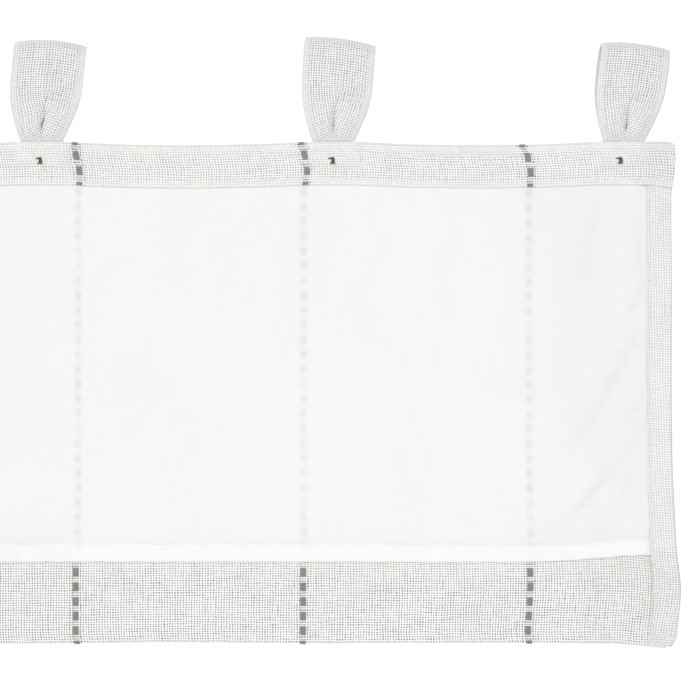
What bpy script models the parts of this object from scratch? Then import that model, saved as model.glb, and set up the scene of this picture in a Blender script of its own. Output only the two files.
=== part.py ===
"""A tab-top window valance, in metres, +Z up.

A coarse open-weave face panel hangs from ten cloth tabs, with a plain white lining behind it. The
lined back faces -Y and the room side faces +Y. The origin is on the axis that a rod through the tabs
has, in the middle of the width. Each piece of cloth is a sheet laid out on one hanging surface, then
set back or forward by the layers it lies on.
"""

import math
from collections import namedtuple

import bmesh
import bpy
import numpy as np

# Overall sizes: nominally 72 by 16 inches, from the highest loop down to the hem.
WIDTH = 1.8288
HEIGHT = 0.4060

# Cloth. The real cloths are thinner; a millimetre is the least that a solid sheet has here.
CLOTH = 0.0010
TAB_CLOTH = 0.0012
GAP = 0.0003
LAYER = CLOTH + GAP

# Tabs.
TAB_COUNT = 10
TAB_END = 0.0355
TAB_BASE_WIDTH = 0.0275
TAB_SPREAD_HEIGHT = 0.040
TAB_TAIL = 0.0120
LOOP_RADIUS = 0.0094
LOOP_TOP = LOOP_RADIUS + TAB_CLOTH / 2
TAB_RISE = 0.0577
TUCK_DEPTH = 0.0055
TUCK_HALF_WIDTH = 0.0026
TUCK_HEIGHT = 0.0300
TUCK_FULL_AT = 0.0080
TUCK_FADES_OVER = 0.0200
FAR_TUCK_SHARE = 0.60
TAB_FLAT_HALF = TAB_BASE_WIDTH / 2 + 0.0012

# Heights above the seam at which the two strands of a tab have a row of points, and the arc's steps.
NEAR_RISES = (-TAB_TAIL, 0.0, 0.005, 0.010, 0.018, 0.029, 0.043)
FAR_RISES = (0.034, 0.014, 0.0, -TAB_TAIL)
LOOP_STEPS = 6

# Face panel.
SIDE_HEM = 0.0172
BOTTOM_HEM = 0.0700
SAG_BETWEEN_TABS = 0.0024
CORNER_RADIUS = 0.0050
END_DROP = 0.0032
END_DROP_AT_HEADING = 0.60
END_DROP_REACH = 0.0200
END_DROP_REACH_AT_HEM = 0.0450
EDGE_REACH = 0.1000
HEM_WOBBLE = 0.0003
HEM_WOBBLE_LENGTH = 0.2100
FLAP_END_GAP = 0.0030
PANEL_INSETS = (0.0, FLAP_END_GAP, 0.010, 0.030)
LEAST_COLUMN = 0.0040

# Heading strip, sewn along the top of the back.
HEADING_DEPTH = 0.0286
HEADING_OVERHANG = 0.0008
LIP_HEIGHT = 0.0020
TAIL_COVER = TAB_TAIL + 0.0012
BULGE_EASE = 0.0060
HEADING_ROWS = (HEADING_DEPTH, 0.0205, TAIL_COVER, CORNER_RADIUS, LIP_HEIGHT)

# Lining.
LINING_TOP = 0.0145
LINING_DROP = 0.2815
LINING_HEM = 0.0109
LINING_SIDE_RISE = 0.0065
LINING_RISE_REACH = 0.0936
LINING_TUCKED_IN = 0.0080
LINING_ROWS = (LINING_TOP, HEADING_DEPTH, 0.080, 0.140, 0.200)
LINING_INSETS = (0.0, 0.018)

# Gentle waves of the hanging cloth: amplitude at the hem, length along the width, phase.
Wave = namedtuple("Wave", "amplitude length phase")
WAVES = (
    Wave(amplitude=0.0018, length=0.470, phase=0.6),
    Wave(amplitude=0.0024, length=0.760, phase=2.1),
)
WAVE_AT_HEADING = 0.25

# The side edges: how far out of line they lie at places down from the heading's top edge.
Edge = namedtuple("Edge", "down out")
EDGES = (
    Edge(down=0.0030, out=+0.0000),
    Edge(down=0.0160, out=+0.0000),
    Edge(down=0.0286, out=-0.0018),
    Edge(down=0.0345, out=-0.0021),
    Edge(down=0.1000, out=-0.0016),
    Edge(down=0.1600, out=-0.0019),
    Edge(down=0.2100, out=-0.0015),
    Edge(down=0.2450, out=+0.0001),
    Edge(down=0.2660, out=+0.0011),
    Edge(down=0.2800, out=+0.0025),
    Edge(down=0.2910, out=+0.0044),
    Edge(down=0.3030, out=+0.0045),
    Edge(down=0.3160, out=+0.0030),
    Edge(down=0.3280, out=+0.0014),
)

# The tabs from left to right: how wide the strip is, how far its base is off its place, how far its top
# sways to the right, how far the loop stands off the rod's line, how much lower the right end of its
# top is than the left, how far both ends droop, and how far to the left the strand behind lies.
Tab = namedtuple("Tab", "width shift sway lift tilt droop behind")
TABS = (
    Tab(width=0.0472, shift=+0.0004, sway=0.0058, lift=+0.0006, tilt=0.0035, droop=0.0024, behind=-0.0008),
    Tab(width=0.0464, shift=-0.0008, sway=0.0042, lift=-0.0005, tilt=0.0050, droop=0.0021, behind=+0.0006),
    Tab(width=0.0476, shift=+0.0002, sway=0.0066, lift=+0.0012, tilt=0.0024, droop=0.0027, behind=-0.0004),
    Tab(width=0.0462, shift=+0.0009, sway=0.0036, lift=-0.0010, tilt=0.0044, droop=0.0022, behind=+0.0010),
    Tab(width=0.0470, shift=-0.0005, sway=0.0061, lift=+0.0004, tilt=0.0030, droop=0.0026, behind=+0.0002),
    Tab(width=0.0466, shift=+0.0006, sway=0.0048, lift=+0.0014, tilt=0.0056, droop=0.0020, behind=+0.0008),
    Tab(width=0.0474, shift=-0.0003, sway=0.0054, lift=-0.0008, tilt=0.0038, droop=0.0025, behind=-0.0006),
    Tab(width=0.0476, shift=+0.0007, sway=0.0060, lift=+0.0008, tilt=0.0030, droop=0.0029, behind=+0.0004),
    Tab(width=0.0468, shift=+0.0011, sway=0.0040, lift=+0.0018, tilt=0.0062, droop=0.0022, behind=+0.0004),
    Tab(width=0.0450, shift=+0.0003, sway=0.0070, lift=-0.0014, tilt=0.0050, droop=0.0020, behind=+0.0008),
)
TAB_PITCH = (WIDTH - 2 * TAB_END) / (TAB_COUNT - 1)
PANEL_DROP = HEIGHT - LOOP_TOP - TAB_RISE - max(tab.lift for tab in TABS)

# The top edge is straight over each tab's tails and sags between tabs: shares of the way between two
# tabs, and of the sag there.
Sag = namedtuple("Sag", "way share")
SAGS = (
    Sag(way=0.26, share=0.72),
    Sag(way=0.50, share=1.00),
    Sag(way=0.74, share=0.66),
)

# How far each layer's middle lies towards the lined back from the middle of the face panel.
FAR_TAIL = CLOTH / 2 + GAP + TAB_CLOTH / 2
NEAR_TAIL = FAR_TAIL + TAB_CLOTH + GAP
LINING_BACK_TOP = LAYER
LINING_BACK_FOOT = 3 * LAYER
HEADING_BACK = 2 * LAYER
HEADING_BACK_OVER_SIDE = 3 * LAYER
HEADING_BACK_OVER_TAIL = NEAR_TAIL + TAB_CLOTH / 2 + GAP + CLOTH / 2

# The panel lies so that the two strands of a tab rise evenly on both sides of the rod's axis.
PANEL_Y = (FAR_TAIL + NEAR_TAIL) / 2

# Finishes: linear colour and roughness.
Finish = namedtuple("Finish", "rgb roughness")
OPEN_WEAVE = Finish(rgb=(0.78, 0.77, 0.75), roughness=0.95)
PLAIN_COTTON = Finish(rgb=(0.90, 0.90, 0.90), roughness=0.90)


def smooth(share):
    """0 below 0, 1 above 1 and an even ease between."""
    share = min(max(share, 0.0), 1.0)
    return share * share * (3 - 2 * share)


def tab_centre(index):
    """Where the middle of a tab's base is across the width."""
    return -WIDTH / 2 + TAB_END + TAB_PITCH * index + TABS[index].shift


def top_edge():
    """Places across the width and how far the top edge sags at each."""
    places = []
    for index in range(TAB_COUNT):
        places += [(tab_centre(index) - TAB_FLAT_HALF, 0.0), (tab_centre(index) + TAB_FLAT_HALF, 0.0)]
        if index < TAB_COUNT - 1:
            way = tab_centre(index + 1) - tab_centre(index)
            places += [(tab_centre(index) + way * s.way, SAG_BETWEEN_TABS * s.share) for s in SAGS]
    return places


TOP_EDGE = top_edge()


def wave(across, down):
    """How far the cloth's waves stand towards the room."""
    share = max(down, 0.0) / PANEL_DROP
    depth = WAVE_AT_HEADING + (1 - WAVE_AT_HEADING) * share
    return depth * sum(w.amplitude * math.sin(math.tau * across / w.length + w.phase) for w in WAVES)


def hang(across, down, back=0.0):
    """The place of a point of the flat cloth, down from the heading's top edge, in a layer that lies
    that far towards the lined back."""
    share = min(max(down, 0.0) / PANEL_DROP, 1.0)
    from_end = WIDTH / 2 - abs(across)
    out = float(np.interp(down, *zip(*EDGES))) * math.exp(-from_end / EDGE_REACH)
    sag = float(np.interp(across, *zip(*TOP_EDGE))) * (1 - share)
    wobble = HEM_WOBBLE * math.sin(math.tau * across / HEM_WOBBLE_LENGTH) * share**3
    reach = END_DROP_REACH + (END_DROP_REACH_AT_HEM - END_DROP_REACH) * share
    drop = END_DROP * (END_DROP_AT_HEADING + (1 - END_DROP_AT_HEADING) * share)
    drop *= smooth(down / HEADING_DEPTH) * smooth(1 - from_end / reach)
    x = across + (out if across > 0 else -out)
    y = PANEL_Y + wave(across, down) - back
    z = -TAB_RISE - down - sag - wobble - drop
    return x, y, z


def fold_radius(down):
    """The side hem's fold goes round whatever lies between the panel and the hem."""
    return side_hem_back(down) / 2


def lining_back(down):
    """The lining drifts away from the face panel to clear the panel's own hem."""
    share = smooth((down - HEADING_DEPTH) / (PANEL_DROP - BOTTOM_HEM - HEADING_DEPTH))
    return LINING_BACK_TOP + (LINING_BACK_FOOT - LINING_BACK_TOP) * share


def side_hem_back(down):
    """The side hems lie on the lining, and below it on the bottom hem."""
    over_lining = lining_back(down) + LAYER
    below = smooth((down - LINING_DROP) / (PANEL_DROP - LINING_DROP))
    return over_lining + (2 * LAYER - over_lining) * below


def rounded(down):
    """How far the ends of the heading and the panel are rounded off at their upper and lower corners."""
    from_corner = min(down, PANEL_DROP - down + CORNER_RADIUS / 3)
    corner = min(max(CORNER_RADIUS - from_corner, 0.0), CORNER_RADIUS)
    return CORNER_RADIUS - math.sqrt(CORNER_RADIUS**2 - corner**2)


def side_fold(down):
    """How far from the middle the panel's side fold begins."""
    return WIDTH / 2 - HEADING_OVERHANG - fold_radius(down) - CLOTH / 2 - rounded(down)


def lining_foot(across):
    """Where the lining's lower edge is: the side hems hold it up at its ends."""
    start = WIDTH / 2 - SIDE_HEM - LINING_RISE_REACH
    share = max(0.0, (abs(across) - start) / LINING_RISE_REACH)
    return LINING_DROP - LINING_SIDE_RISE * share**2


def heading_over_tab(across):
    """1 where the heading covers a tab's tails, easing to 0 beside them."""
    nearest = min(abs(across - tab_centre(i)) for i in range(TAB_COUNT))
    return smooth(1 - (nearest - TAB_FLAT_HALF) / BULGE_EASE)


def heading_back(across, down):
    """How far back the heading lies: it stands out over the side hems and over the tabs' tails."""
    fold = side_fold(HEADING_DEPTH) - SIDE_HEM
    over_side = smooth(1 + (abs(across) - fold) / BULGE_EASE)
    over_tail = heading_over_tab(across) * smooth(1 - (down - TAIL_COVER) / BULGE_EASE)
    side = (HEADING_BACK_OVER_SIDE - HEADING_BACK) * over_side
    tail = (HEADING_BACK_OVER_TAIL - HEADING_BACK) * over_tail
    return HEADING_BACK + max(side, tail)


def material(name, finish):
    made = bpy.data.materials.new(name)
    made.use_nodes = True
    surface = made.node_tree.nodes["Principled BSDF"]
    surface.inputs["Base Color"].default_value = (*finish.rgb, 1.0)
    surface.inputs["Roughness"].default_value = finish.roughness
    surface.inputs["Metallic"].default_value = 0.0
    return made


def sheet(name, grids, finish, thickness):
    """One closed sheet of cloth from grids of points. Grids that share an edge are joined there."""
    made = bmesh.new()
    for rows in grids:
        verts = [[made.verts.new(point) for point in row] for row in rows]
        for above, below in zip(verts, verts[1:]):
            for left in range(len(above) - 1):
                made.faces.new((above[left], below[left], below[left + 1], above[left + 1]))
    bmesh.ops.remove_doubles(made, verts=made.verts, dist=1e-6)
    bmesh.ops.recalc_face_normals(made, faces=made.faces)
    mesh = bpy.data.meshes.new(name)
    made.to_mesh(mesh)
    made.free()
    mesh.materials.append(material(f"{name}_cloth", finish))
    piece = bpy.data.objects.new(name, mesh)
    bpy.context.scene.collection.objects.link(piece)
    solidify = piece.modifiers.new("cloth thickness", "SOLIDIFY")
    solidify.thickness = thickness
    solidify.offset = 0.0
    solidify.use_even_offset = True
    mesh.shade_smooth()
    return piece


def columns(half, insets):
    """Places across a width of 2 * half: close together near its ends, and at the top edge's places."""
    ends = [half - inset for inset in insets]
    middle = [place for place, sag in TOP_EDGE if abs(place) < ends[-1] - LEAST_COLUMN]
    return [-place for place in ends] + middle + ends[::-1]


def half_turn(steps):
    """Angles of a fold from just after its start to its end."""
    return [math.pi * (i + 1) / steps for i in range(steps)]


def panel_grids():
    """The face panel with its bottom hem turned up and its side hems turned in, on the lined side."""
    down_list = [CLOTH / 2 + GAP] + [edge.down for edge in EDGES]
    down_list.append(PANEL_DROP - LAYER / 2 - CLOTH / 2)
    main = [[hang(a, down) for a in columns(side_fold(down), PANEL_INSETS)] for down in down_list]

    hem_rows = [main[-1][1:-1]]
    fold_down = down_list[-1]
    hem_across = columns(side_fold(fold_down), PANEL_INSETS)[1:-1]
    for angle in half_turn(3):
        reach = LAYER / 2 * math.sin(angle)
        back = LAYER / 2 * (1 - math.cos(angle))
        hem_rows.append([hang(a, fold_down + reach, back) for a in hem_across])
    for share in (0.36, 0.68, 1.0):
        down = PANEL_DROP - BOTTOM_HEM * share
        hem_rows.append([hang(a, down, LAYER) for a in columns(side_fold(down), PANEL_INSETS)[1:-1]])

    side_grids = []
    for side in (-1, 1):
        rows = []
        for down in down_list[1:]:
            fold, radius = side_fold(down), fold_radius(down)
            x, y, z = hang(side * fold, down)
            row = [(x, y, z)]
            for angle in half_turn(4):
                bend = radius * math.sin(angle)
                row.append((x + side * bend, y - radius * (1 - math.cos(angle)), z))
            for inward in (0.5 * SIDE_HEM, SIDE_HEM - radius):
                row.append(hang(side * (fold - inward), down, side_hem_back(down)))
            rows.append(row)
        side_grids.append(rows)
    return [main, hem_rows, *side_grids]


def lining_grids():
    """The lining with its hem turned up towards the face panel."""
    ends = side_fold(LINING_DROP) - SIDE_HEM + LINING_TUCKED_IN
    across_list = columns(ends, LINING_INSETS)
    fold_rise = LAYER / 2 + CLOTH / 2
    rows = []
    for down in LINING_ROWS:
        rows.append([hang(a, down, lining_back(down)) for a in across_list])
    for above_fold in (LINING_HEM, 0.0):
        row = []
        for a in across_list:
            down = lining_foot(a) - fold_rise - above_fold
            row.append(hang(a, down, LINING_BACK_FOOT))
        rows.append(row)
    for angle in half_turn(3):
        reach = LAYER / 2 * math.sin(angle)
        back = LINING_BACK_FOOT - LAYER / 2 * (1 - math.cos(angle))
        rows.append([hang(a, lining_foot(a) - fold_rise + reach, back) for a in across_list])
    top_of_hem = [hang(a, lining_foot(a) - LINING_HEM, LINING_BACK_FOOT - LAYER) for a in across_list]
    return [rows + [top_of_hem]]


def heading_grids():
    """The strip along the top. Its upper lip turns over the panel's edge, but stays open at the tabs."""
    end = WIDTH / 2 - CLOTH / 2
    inner = [place for place, sag in TOP_EDGE]
    for index in range(TAB_COUNT):
        for off in (TAB_FLAT_HALF + BULGE_EASE / 2, TAB_FLAT_HALF + BULGE_EASE):
            inner += [tab_centre(index) - off, tab_centre(index) + off]
    across_list = [-end, *sorted(a for a in inner if abs(a) < end - LEAST_COLUMN), end]

    def end_fit(across, down):
        return across * (1 - rounded(down) / end) if abs(across) == end else across

    rows = []
    for down in HEADING_ROWS:
        rows.append([hang(end_fit(a, down), down, heading_back(a, down)) for a in across_list])
    for angle in (math.pi / 4, math.pi / 2):
        row = []
        for a in across_list:
            down = LIP_HEIGHT * (1 - math.sin(angle))
            back = heading_back(a, LIP_HEIGHT)
            curl = (1 - heading_over_tab(a)) * back * (1 - math.cos(angle))
            row.append(hang(end_fit(a, down), down, back - curl))
        rows.append(row)
    return [rows]


def tab_width(tab, rise):
    """The strip is gathered at the base and reaches its full width well above it."""
    share = math.sin(math.pi / 2 * min(max(rise / TAB_SPREAD_HEIGHT, 0.0), 1.0))
    return TAB_BASE_WIDTH + (tab.width - TAB_BASE_WIDTH) * share


def tuck(rise, across):
    """How far the pleat at the base pushes a point of the strip towards the room."""
    depth = TUCK_DEPTH * smooth(rise / TUCK_FULL_AT) * smooth((TUCK_HEIGHT - rise) / TUCK_FADES_OVER)
    share = min(abs(across) / tuck_half_width(rise), 1.0)
    return depth * (1 + math.cos(math.pi * share)) / 2


def tuck_half_width(rise):
    return TUCK_HALF_WIDTH * (1 + max(rise, 0.0) / TUCK_HEIGHT)


def tab_stations(tab, height):
    """The rows of a tab's strip: height above the seam, place towards the room, share of the tuck and how
    far the row lies to the left."""
    near, far = PANEL_Y - NEAR_TAIL, PANEL_Y - FAR_TAIL

    def spread(rise):
        """How far the two strands have parted at a height, from 0 at the seam to 1 at the loop."""
        return math.sin(math.pi / 2 * max(rise, 0.0) / height)

    stations = [(rise, near - (LOOP_RADIUS + near) * spread(rise), 1.0, 0.0) for rise in NEAR_RISES]
    for step in range(LOOP_STEPS + 1):
        angle = math.pi * step / LOOP_STEPS
        behind = tab.behind * (1 - math.cos(angle)) / 2
        stations.append((height + LOOP_RADIUS * math.sin(angle), -LOOP_RADIUS * math.cos(angle), 0.0, behind))
    for rise in FAR_RISES:
        y = far + (LOOP_RADIUS - far) * spread(rise)
        stations.append((rise, y, FAR_TUCK_SHARE, tab.behind * spread(rise)))
    return stations


def tab_grid(index):
    """The strip of a tab from one tail, up and over the rod's place, to the other tail."""
    tab, centre = TABS[index], tab_centre(index)
    seam_z = hang(centre, 0.0)[2]
    height = tab.lift - seam_z
    rows = []
    for rise, y, tuck_share, behind in tab_stations(tab, height):
        half, fold = tab_width(tab, rise) / 2, tuck_half_width(rise)
        lean = tab.sway * max(rise, 0.0) / height
        lifted = smooth(rise / height)
        right = [fold / 3, fold * 2 / 3, fold, (fold + half) / 2, half]
        row = []
        for across in [-a for a in right[::-1]] + [0.0] + right:
            level = -tab.tilt * across / tab.width - tab.droop * (2 * across / tab.width) ** 2
            swing = wave(centre + across, 0.0) * (1 - lifted)
            push = tuck_share * tuck(rise, across)
            x = centre + across + lean - behind
            row.append((x, y + swing + push, seam_z + rise + lifted * level))
        rows.append(row)
    return rows


def main():
    for old in list(bpy.data.objects):
        bpy.data.objects.remove(old)
    sheet("face_panel", panel_grids(), OPEN_WEAVE, CLOTH)
    sheet("lining", lining_grids(), PLAIN_COTTON, CLOTH)
    sheet("heading", heading_grids(), OPEN_WEAVE, CLOTH)
    for index in range(TAB_COUNT):
        sheet(f"tab_{index + 1:02d}", [tab_grid(index)], OPEN_WEAVE, TAB_CLOTH)


main()
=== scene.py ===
"""The looks of a lined tab-top window valance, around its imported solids.

In metres, +Z up. The lined back faces -Y, where the camera is, and the room side faces +Y. Each cloth is
laid out again on the surface in which its solid hangs, on a finer grid. Its UV map holds the place on the
flat cloth in metres, so the weave follows the cloth round its folds, hems and pleats. Dashes, tacks and
stitches, too fine for the solids, are threads that stand on that surface.
"""

import math
from collections import namedtuple

import bmesh
import bpy
import numpy as np
from mathutils import Matrix, Vector


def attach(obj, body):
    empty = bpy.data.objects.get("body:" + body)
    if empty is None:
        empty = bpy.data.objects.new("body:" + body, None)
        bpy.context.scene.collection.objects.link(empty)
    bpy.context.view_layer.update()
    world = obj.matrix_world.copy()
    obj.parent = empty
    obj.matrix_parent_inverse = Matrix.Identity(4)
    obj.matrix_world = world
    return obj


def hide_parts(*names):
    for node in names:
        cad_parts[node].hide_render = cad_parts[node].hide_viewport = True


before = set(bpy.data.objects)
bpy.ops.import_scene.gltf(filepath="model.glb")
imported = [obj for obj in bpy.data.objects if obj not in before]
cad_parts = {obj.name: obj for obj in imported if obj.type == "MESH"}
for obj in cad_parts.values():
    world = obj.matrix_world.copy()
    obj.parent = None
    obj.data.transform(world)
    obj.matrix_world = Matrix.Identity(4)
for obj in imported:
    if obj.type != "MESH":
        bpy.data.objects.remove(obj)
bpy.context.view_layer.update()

# Sizes of the solids, which the finer cloth follows.
WIDTH = 1.8288
HEIGHT = 0.4060
SOLID_CLOTH = 0.0010
SOLID_TAB_CLOTH = 0.0012
GAP = 0.0003
LAYER = SOLID_CLOTH + GAP
TAB_COUNT = 10
TAB_END = 0.0355
TAB_PITCH = (WIDTH - 2 * TAB_END) / (TAB_COUNT - 1)
TAB_BASE_WIDTH = 0.0275
TAB_FLAT_HALF = TAB_BASE_WIDTH / 2 + 0.0012
TAB_SPREAD_HEIGHT = 0.040
TAB_TAIL = 0.0120
LOOP_RADIUS = 0.0094
LOOP_TOP = LOOP_RADIUS + SOLID_TAB_CLOTH / 2
TAB_RISE = 0.0577
TUCK_DEPTH = 0.0055
TUCK_HALF_WIDTH = 0.0026
TUCK_HEIGHT = 0.0300
PLEAT_FROM = 0.0040
TUCK_FULL_AT = 0.0070
TUCK_FADES_OVER = 0.0200
FAR_TUCK_SHARE = 0.60
SIDE_HEM = 0.0172
BOTTOM_HEM = 0.0700
SAG_BETWEEN_TABS = 0.0024
CORNER_RADIUS = 0.0050
FOLD_FLATNESS = 0.5
FOOT_SLANT = 0.0030
FOOT_SLANT_OVER = 0.0090
END_DROP = 0.0032
END_DROP_AT_HEADING = 0.60
END_DROP_REACH = 0.0200
END_DROP_REACH_AT_HEM = 0.0450
EDGE_REACH = 0.1000
HEM_WOBBLE = 0.0003
HEM_WOBBLE_LENGTH = 0.2100
FLAP_END_GAP = 0.0030
HEADING_DEPTH = 0.0286
HEADING_OVERHANG = 0.0008
LIP_HEIGHT = 0.0020
TAIL_COVER = TAB_TAIL + 0.0012
BULGE_EASE = 0.0060
LINING_TOP = 0.0145
LINING_DROP = 0.2815
LINING_HEM = 0.0109
LINING_SIDE_RISE = 0.0065
LINING_RISE_REACH = 0.0936
LINING_TUCKED_IN = 0.0080
WAVE_AT_HEADING = 0.25

# How far each layer's middle lies towards the lined back from the middle of the face panel.
FAR_TAIL = SOLID_CLOTH / 2 + GAP + SOLID_TAB_CLOTH / 2
NEAR_TAIL = FAR_TAIL + SOLID_TAB_CLOTH + GAP
PANEL_Y = (FAR_TAIL + NEAR_TAIL) / 2
LINING_BACK_TOP = LAYER
LINING_BACK_FOOT = 3 * LAYER
HEADING_BACK = 2 * LAYER
HEADING_BACK_OVER_SIDE = 3 * LAYER
HEADING_BACK_OVER_TAIL = NEAR_TAIL + SOLID_TAB_CLOTH / 2 + GAP + SOLID_CLOTH / 2

Wave = namedtuple("Wave", "amplitude length phase")
WAVES = (
    Wave(0.0018, 0.470, 0.6),
    Wave(0.0024, 0.760, 2.1),
)

# The side edges: how far out of line they lie at places down from the heading's top edge.
Edge = namedtuple("Edge", "down out")
EDGES = (
    Edge(0.0030, +0.0000),
    Edge(0.0160, +0.0000),
    Edge(0.0286, -0.0018),
    Edge(0.0345, -0.0021),
    Edge(0.1000, -0.0016),
    Edge(0.1600, -0.0019),
    Edge(0.2100, -0.0015),
    Edge(0.2450, +0.0001),
    Edge(0.2660, +0.0011),
    Edge(0.2800, +0.0025),
    Edge(0.2910, +0.0044),
    Edge(0.3030, +0.0045),
    Edge(0.3160, +0.0030),
    Edge(0.3280, +0.0014),
)

# The tabs from left to right: how wide the strip is, how far its base is off its place, how far its top
# sways to the right, how far the loop stands off the rod's line, how much lower the right end of its
# top is than the left, how far both ends droop, and how far to the left the strand behind lies.
Tab = namedtuple("Tab", "width shift sway lift tilt droop behind")
TABS = (
    Tab(0.0472, +0.0004, 0.0058, +0.0006, 0.0035, 0.0024, -0.0008),
    Tab(0.0464, -0.0008, 0.0042, -0.0005, 0.0050, 0.0021, +0.0006),
    Tab(0.0476, +0.0002, 0.0066, +0.0012, 0.0024, 0.0027, -0.0004),
    Tab(0.0462, +0.0009, 0.0036, -0.0010, 0.0044, 0.0022, +0.0010),
    Tab(0.0470, -0.0005, 0.0061, +0.0004, 0.0030, 0.0026, +0.0002),
    Tab(0.0466, +0.0006, 0.0048, +0.0014, 0.0056, 0.0020, +0.0008),
    Tab(0.0474, -0.0003, 0.0054, -0.0008, 0.0038, 0.0025, -0.0006),
    Tab(0.0476, +0.0007, 0.0060, +0.0008, 0.0030, 0.0029, +0.0004),
    Tab(0.0468, +0.0011, 0.0040, +0.0018, 0.0062, 0.0022, +0.0004),
    Tab(0.0450, +0.0003, 0.0070, -0.0014, 0.0050, 0.0020, +0.0008),
)
PANEL_DROP = HEIGHT - LOOP_TOP - TAB_RISE - max(tab.lift for tab in TABS)

Sag = namedtuple("Sag", "way share")
SAGS = (
    Sag(0.26, 0.72),
    Sag(0.50, 1.00),
    Sag(0.74, 0.66),
)
SAG_EASE = 0.0090
EDGE_EASE = 0.0070

# Small unevenness that all the layers share: height, and how far it repeats across and down.
Ripple = namedtuple("Ripple", "height across down phase")
RIPPLES = (
    Ripple(0.00030, 0.131, 0.420, 0.4),
    Ripple(0.00022, 0.083, -0.190, 1.9),
    Ripple(0.00016, 0.047, 0.260, 3.3),
    Ripple(0.00010, -0.029, 0.064, 0.9),
)

# The real thickness of the cloths, as they are laid here.
COARSE_CLOTH = 0.0005
DOUBLED_CLOTH = 0.0010
LINING_CLOTH = 0.0004

# The cloth lies closer to the layer under it at its edges than the solids do, and the lining at its hem.
EDGE_PRESS = 0.0007
EDGE_PRESS_OVER = 0.0035
LINING_LOW = 0.0015
LINING_LOW_FROM = 0.0200
LINING_LOW_OVER = 0.0140
LINING_TURN = 0.0005
CREASED_FROM = 0.6400

# The weave: 84 warp yarns from one woven stripe to the next, and 6 wefts from one dash to the next.
STRIPE_PITCH = 0.1514
STRIPE_COUNT = 12
STRIPE_FIRST = 0.8155
WARP_PITCH = STRIPE_PITCH / 84
DASH_PITCH = 0.0098
WEFT_PITCH = DASH_PITCH / 6
DASH_WIDTH = 0.0039
DASH_LENGTH = 0.0058
DASH_THREADS = 5
FLAP_DASH_START = -0.0010
HEADING_DASH_START = 0.0085
HEADING_DASH_PITCH = 0.0102

# In the heading the warp leans: how far to the right it lies at places down from the top edge. It also
# sways a little along the strip.
Lean = namedtuple("Lean", "down right")
HEADING_LEANS = (
    Lean(0.0000, -0.0032),
    Lean(0.0070, -0.0006),
    Lean(0.0120, +0.0001),
    Lean(0.0190, +0.0020),
    Lean(0.0280, +0.0016),
)
HEADING_LEAN_EASE = 0.0030
HEADING_SWAY = 0.0018
HEADING_SWAY_END = HEADING_DEPTH + 0.0040
HEADING_SWAY_OVER = 0.0200
TOP_SWAY = 0.0014
TOP_SWAY_OVER = 0.0085
FLAP_LEAN = 0.0012
FLAP_LEAN_FROM = 0.7000
FLAP_LEAN_OVER = 0.1000
FLAP_SWAY = 0.0010
FLAP_SWAY_OVER = 0.0080

# The lining's creases, each a soft step: its half width, how high it is, and points from its low or left
# end on. The step faces right or down, and the cloth rises slowly to it.
Crease = namedtuple("Crease", "width height points")
CREASES = (
    Crease(0.0042, 0.0013, ((0.810, 0.262), (0.835, 0.258), (0.855, 0.238), (0.871, 0.218))),
    Crease(0.0026, 0.0008, ((0.846, 0.250), (0.867, 0.224), (0.879, 0.211), (0.899, 0.191))),
    Crease(0.0042, 0.0013,
           ((0.838, 0.209), (0.855, 0.189), (0.865, 0.176), (0.872, 0.160), (0.892, 0.126))),
    Crease(0.0044, 0.0010, ((0.854, 0.096), (0.855, 0.072), (0.860, 0.050), (0.864, 0.020))),
    Crease(0.0024, 0.0011, ((0.862, 0.028), (0.880, 0.034), (0.902, 0.042))),
    Crease(0.0026, 0.0008, ((0.894, 0.092), (0.891, 0.072), (0.887, 0.046))),
    Crease(0.0024, 0.0011, ((0.879, 0.120), (0.889, 0.106), (0.899, 0.090))),
    Crease(0.0024, 0.0008, ((0.876, 0.188), (0.887, 0.180), (0.900, 0.168))),
    Crease(0.0035, 0.0005, ((0.705, 0.107), (0.711, 0.088), (0.725, 0.057))),
    Crease(0.0038, 0.0005, ((0.757, 0.088), (0.762, 0.070), (0.769, 0.046))),
    Crease(0.0034, 0.0006, ((0.862, 0.270), (0.874, 0.244), (0.889, 0.212))),
    Crease(0.0026, 0.0005, ((0.681, 0.056), (0.688, 0.042), (0.696, 0.024))),
    Crease(0.0070, 0.0008, ((0.662, 0.056), (0.672, 0.044), (0.684, 0.028))),
)
CREASE_ENDS = 0.0120
CREASE_RISES_OVER = 7
CREASE_SIDE_EASE = 0.0030
CREASE_SIDE_DOWN = 0.1000

# A share or a height that sets in past a place: how much, from where, and over what length. With a
# negative length it sets in before that place.
Step = namedtuple("Step", "most start over")
HEM_NARROWER = (
    Step(0.0012, 0.705, 0.030),
    Step(0.0009, 0.820, 0.040),
)
LINING_HEM_MIDDLE = LINING_HEM + 0.0012


def smooth(share):
    """0 below 0, 1 above 1 and an even ease between."""
    share = np.clip(share, 0.0, 1.0)
    return share * share * (3 - 2 * share)


def stepped(step, at):
    return step.most * smooth((at - step.start) / step.over)


def eased(at, places, values, soften):
    """Straight lines between the places of a table, with the corners rounded off."""
    shifts = np.linspace(-soften, soften, 9)
    return np.mean([np.interp(at + shift, places, values) for shift in shifts], axis=0)


def tab_centre(index):
    return -WIDTH / 2 + TAB_END + TAB_PITCH * index + TABS[index].shift


def top_edge():
    """Places across the width and how far the top edge sags at each."""
    places = []
    for index in range(TAB_COUNT):
        places += [(tab_centre(index) - TAB_FLAT_HALF, 0.0), (tab_centre(index) + TAB_FLAT_HALF, 0.0)]
        if index < TAB_COUNT - 1:
            way = tab_centre(index + 1) - tab_centre(index)
            places += [(tab_centre(index) + way * s.way, SAG_BETWEEN_TABS * s.share) for s in SAGS]
    return list(zip(*places))


TOP_EDGE = top_edge()
EDGE_TABLE = list(zip(*EDGES))
HEADING_LEAN_TABLE = list(zip(*HEADING_LEANS))


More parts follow.
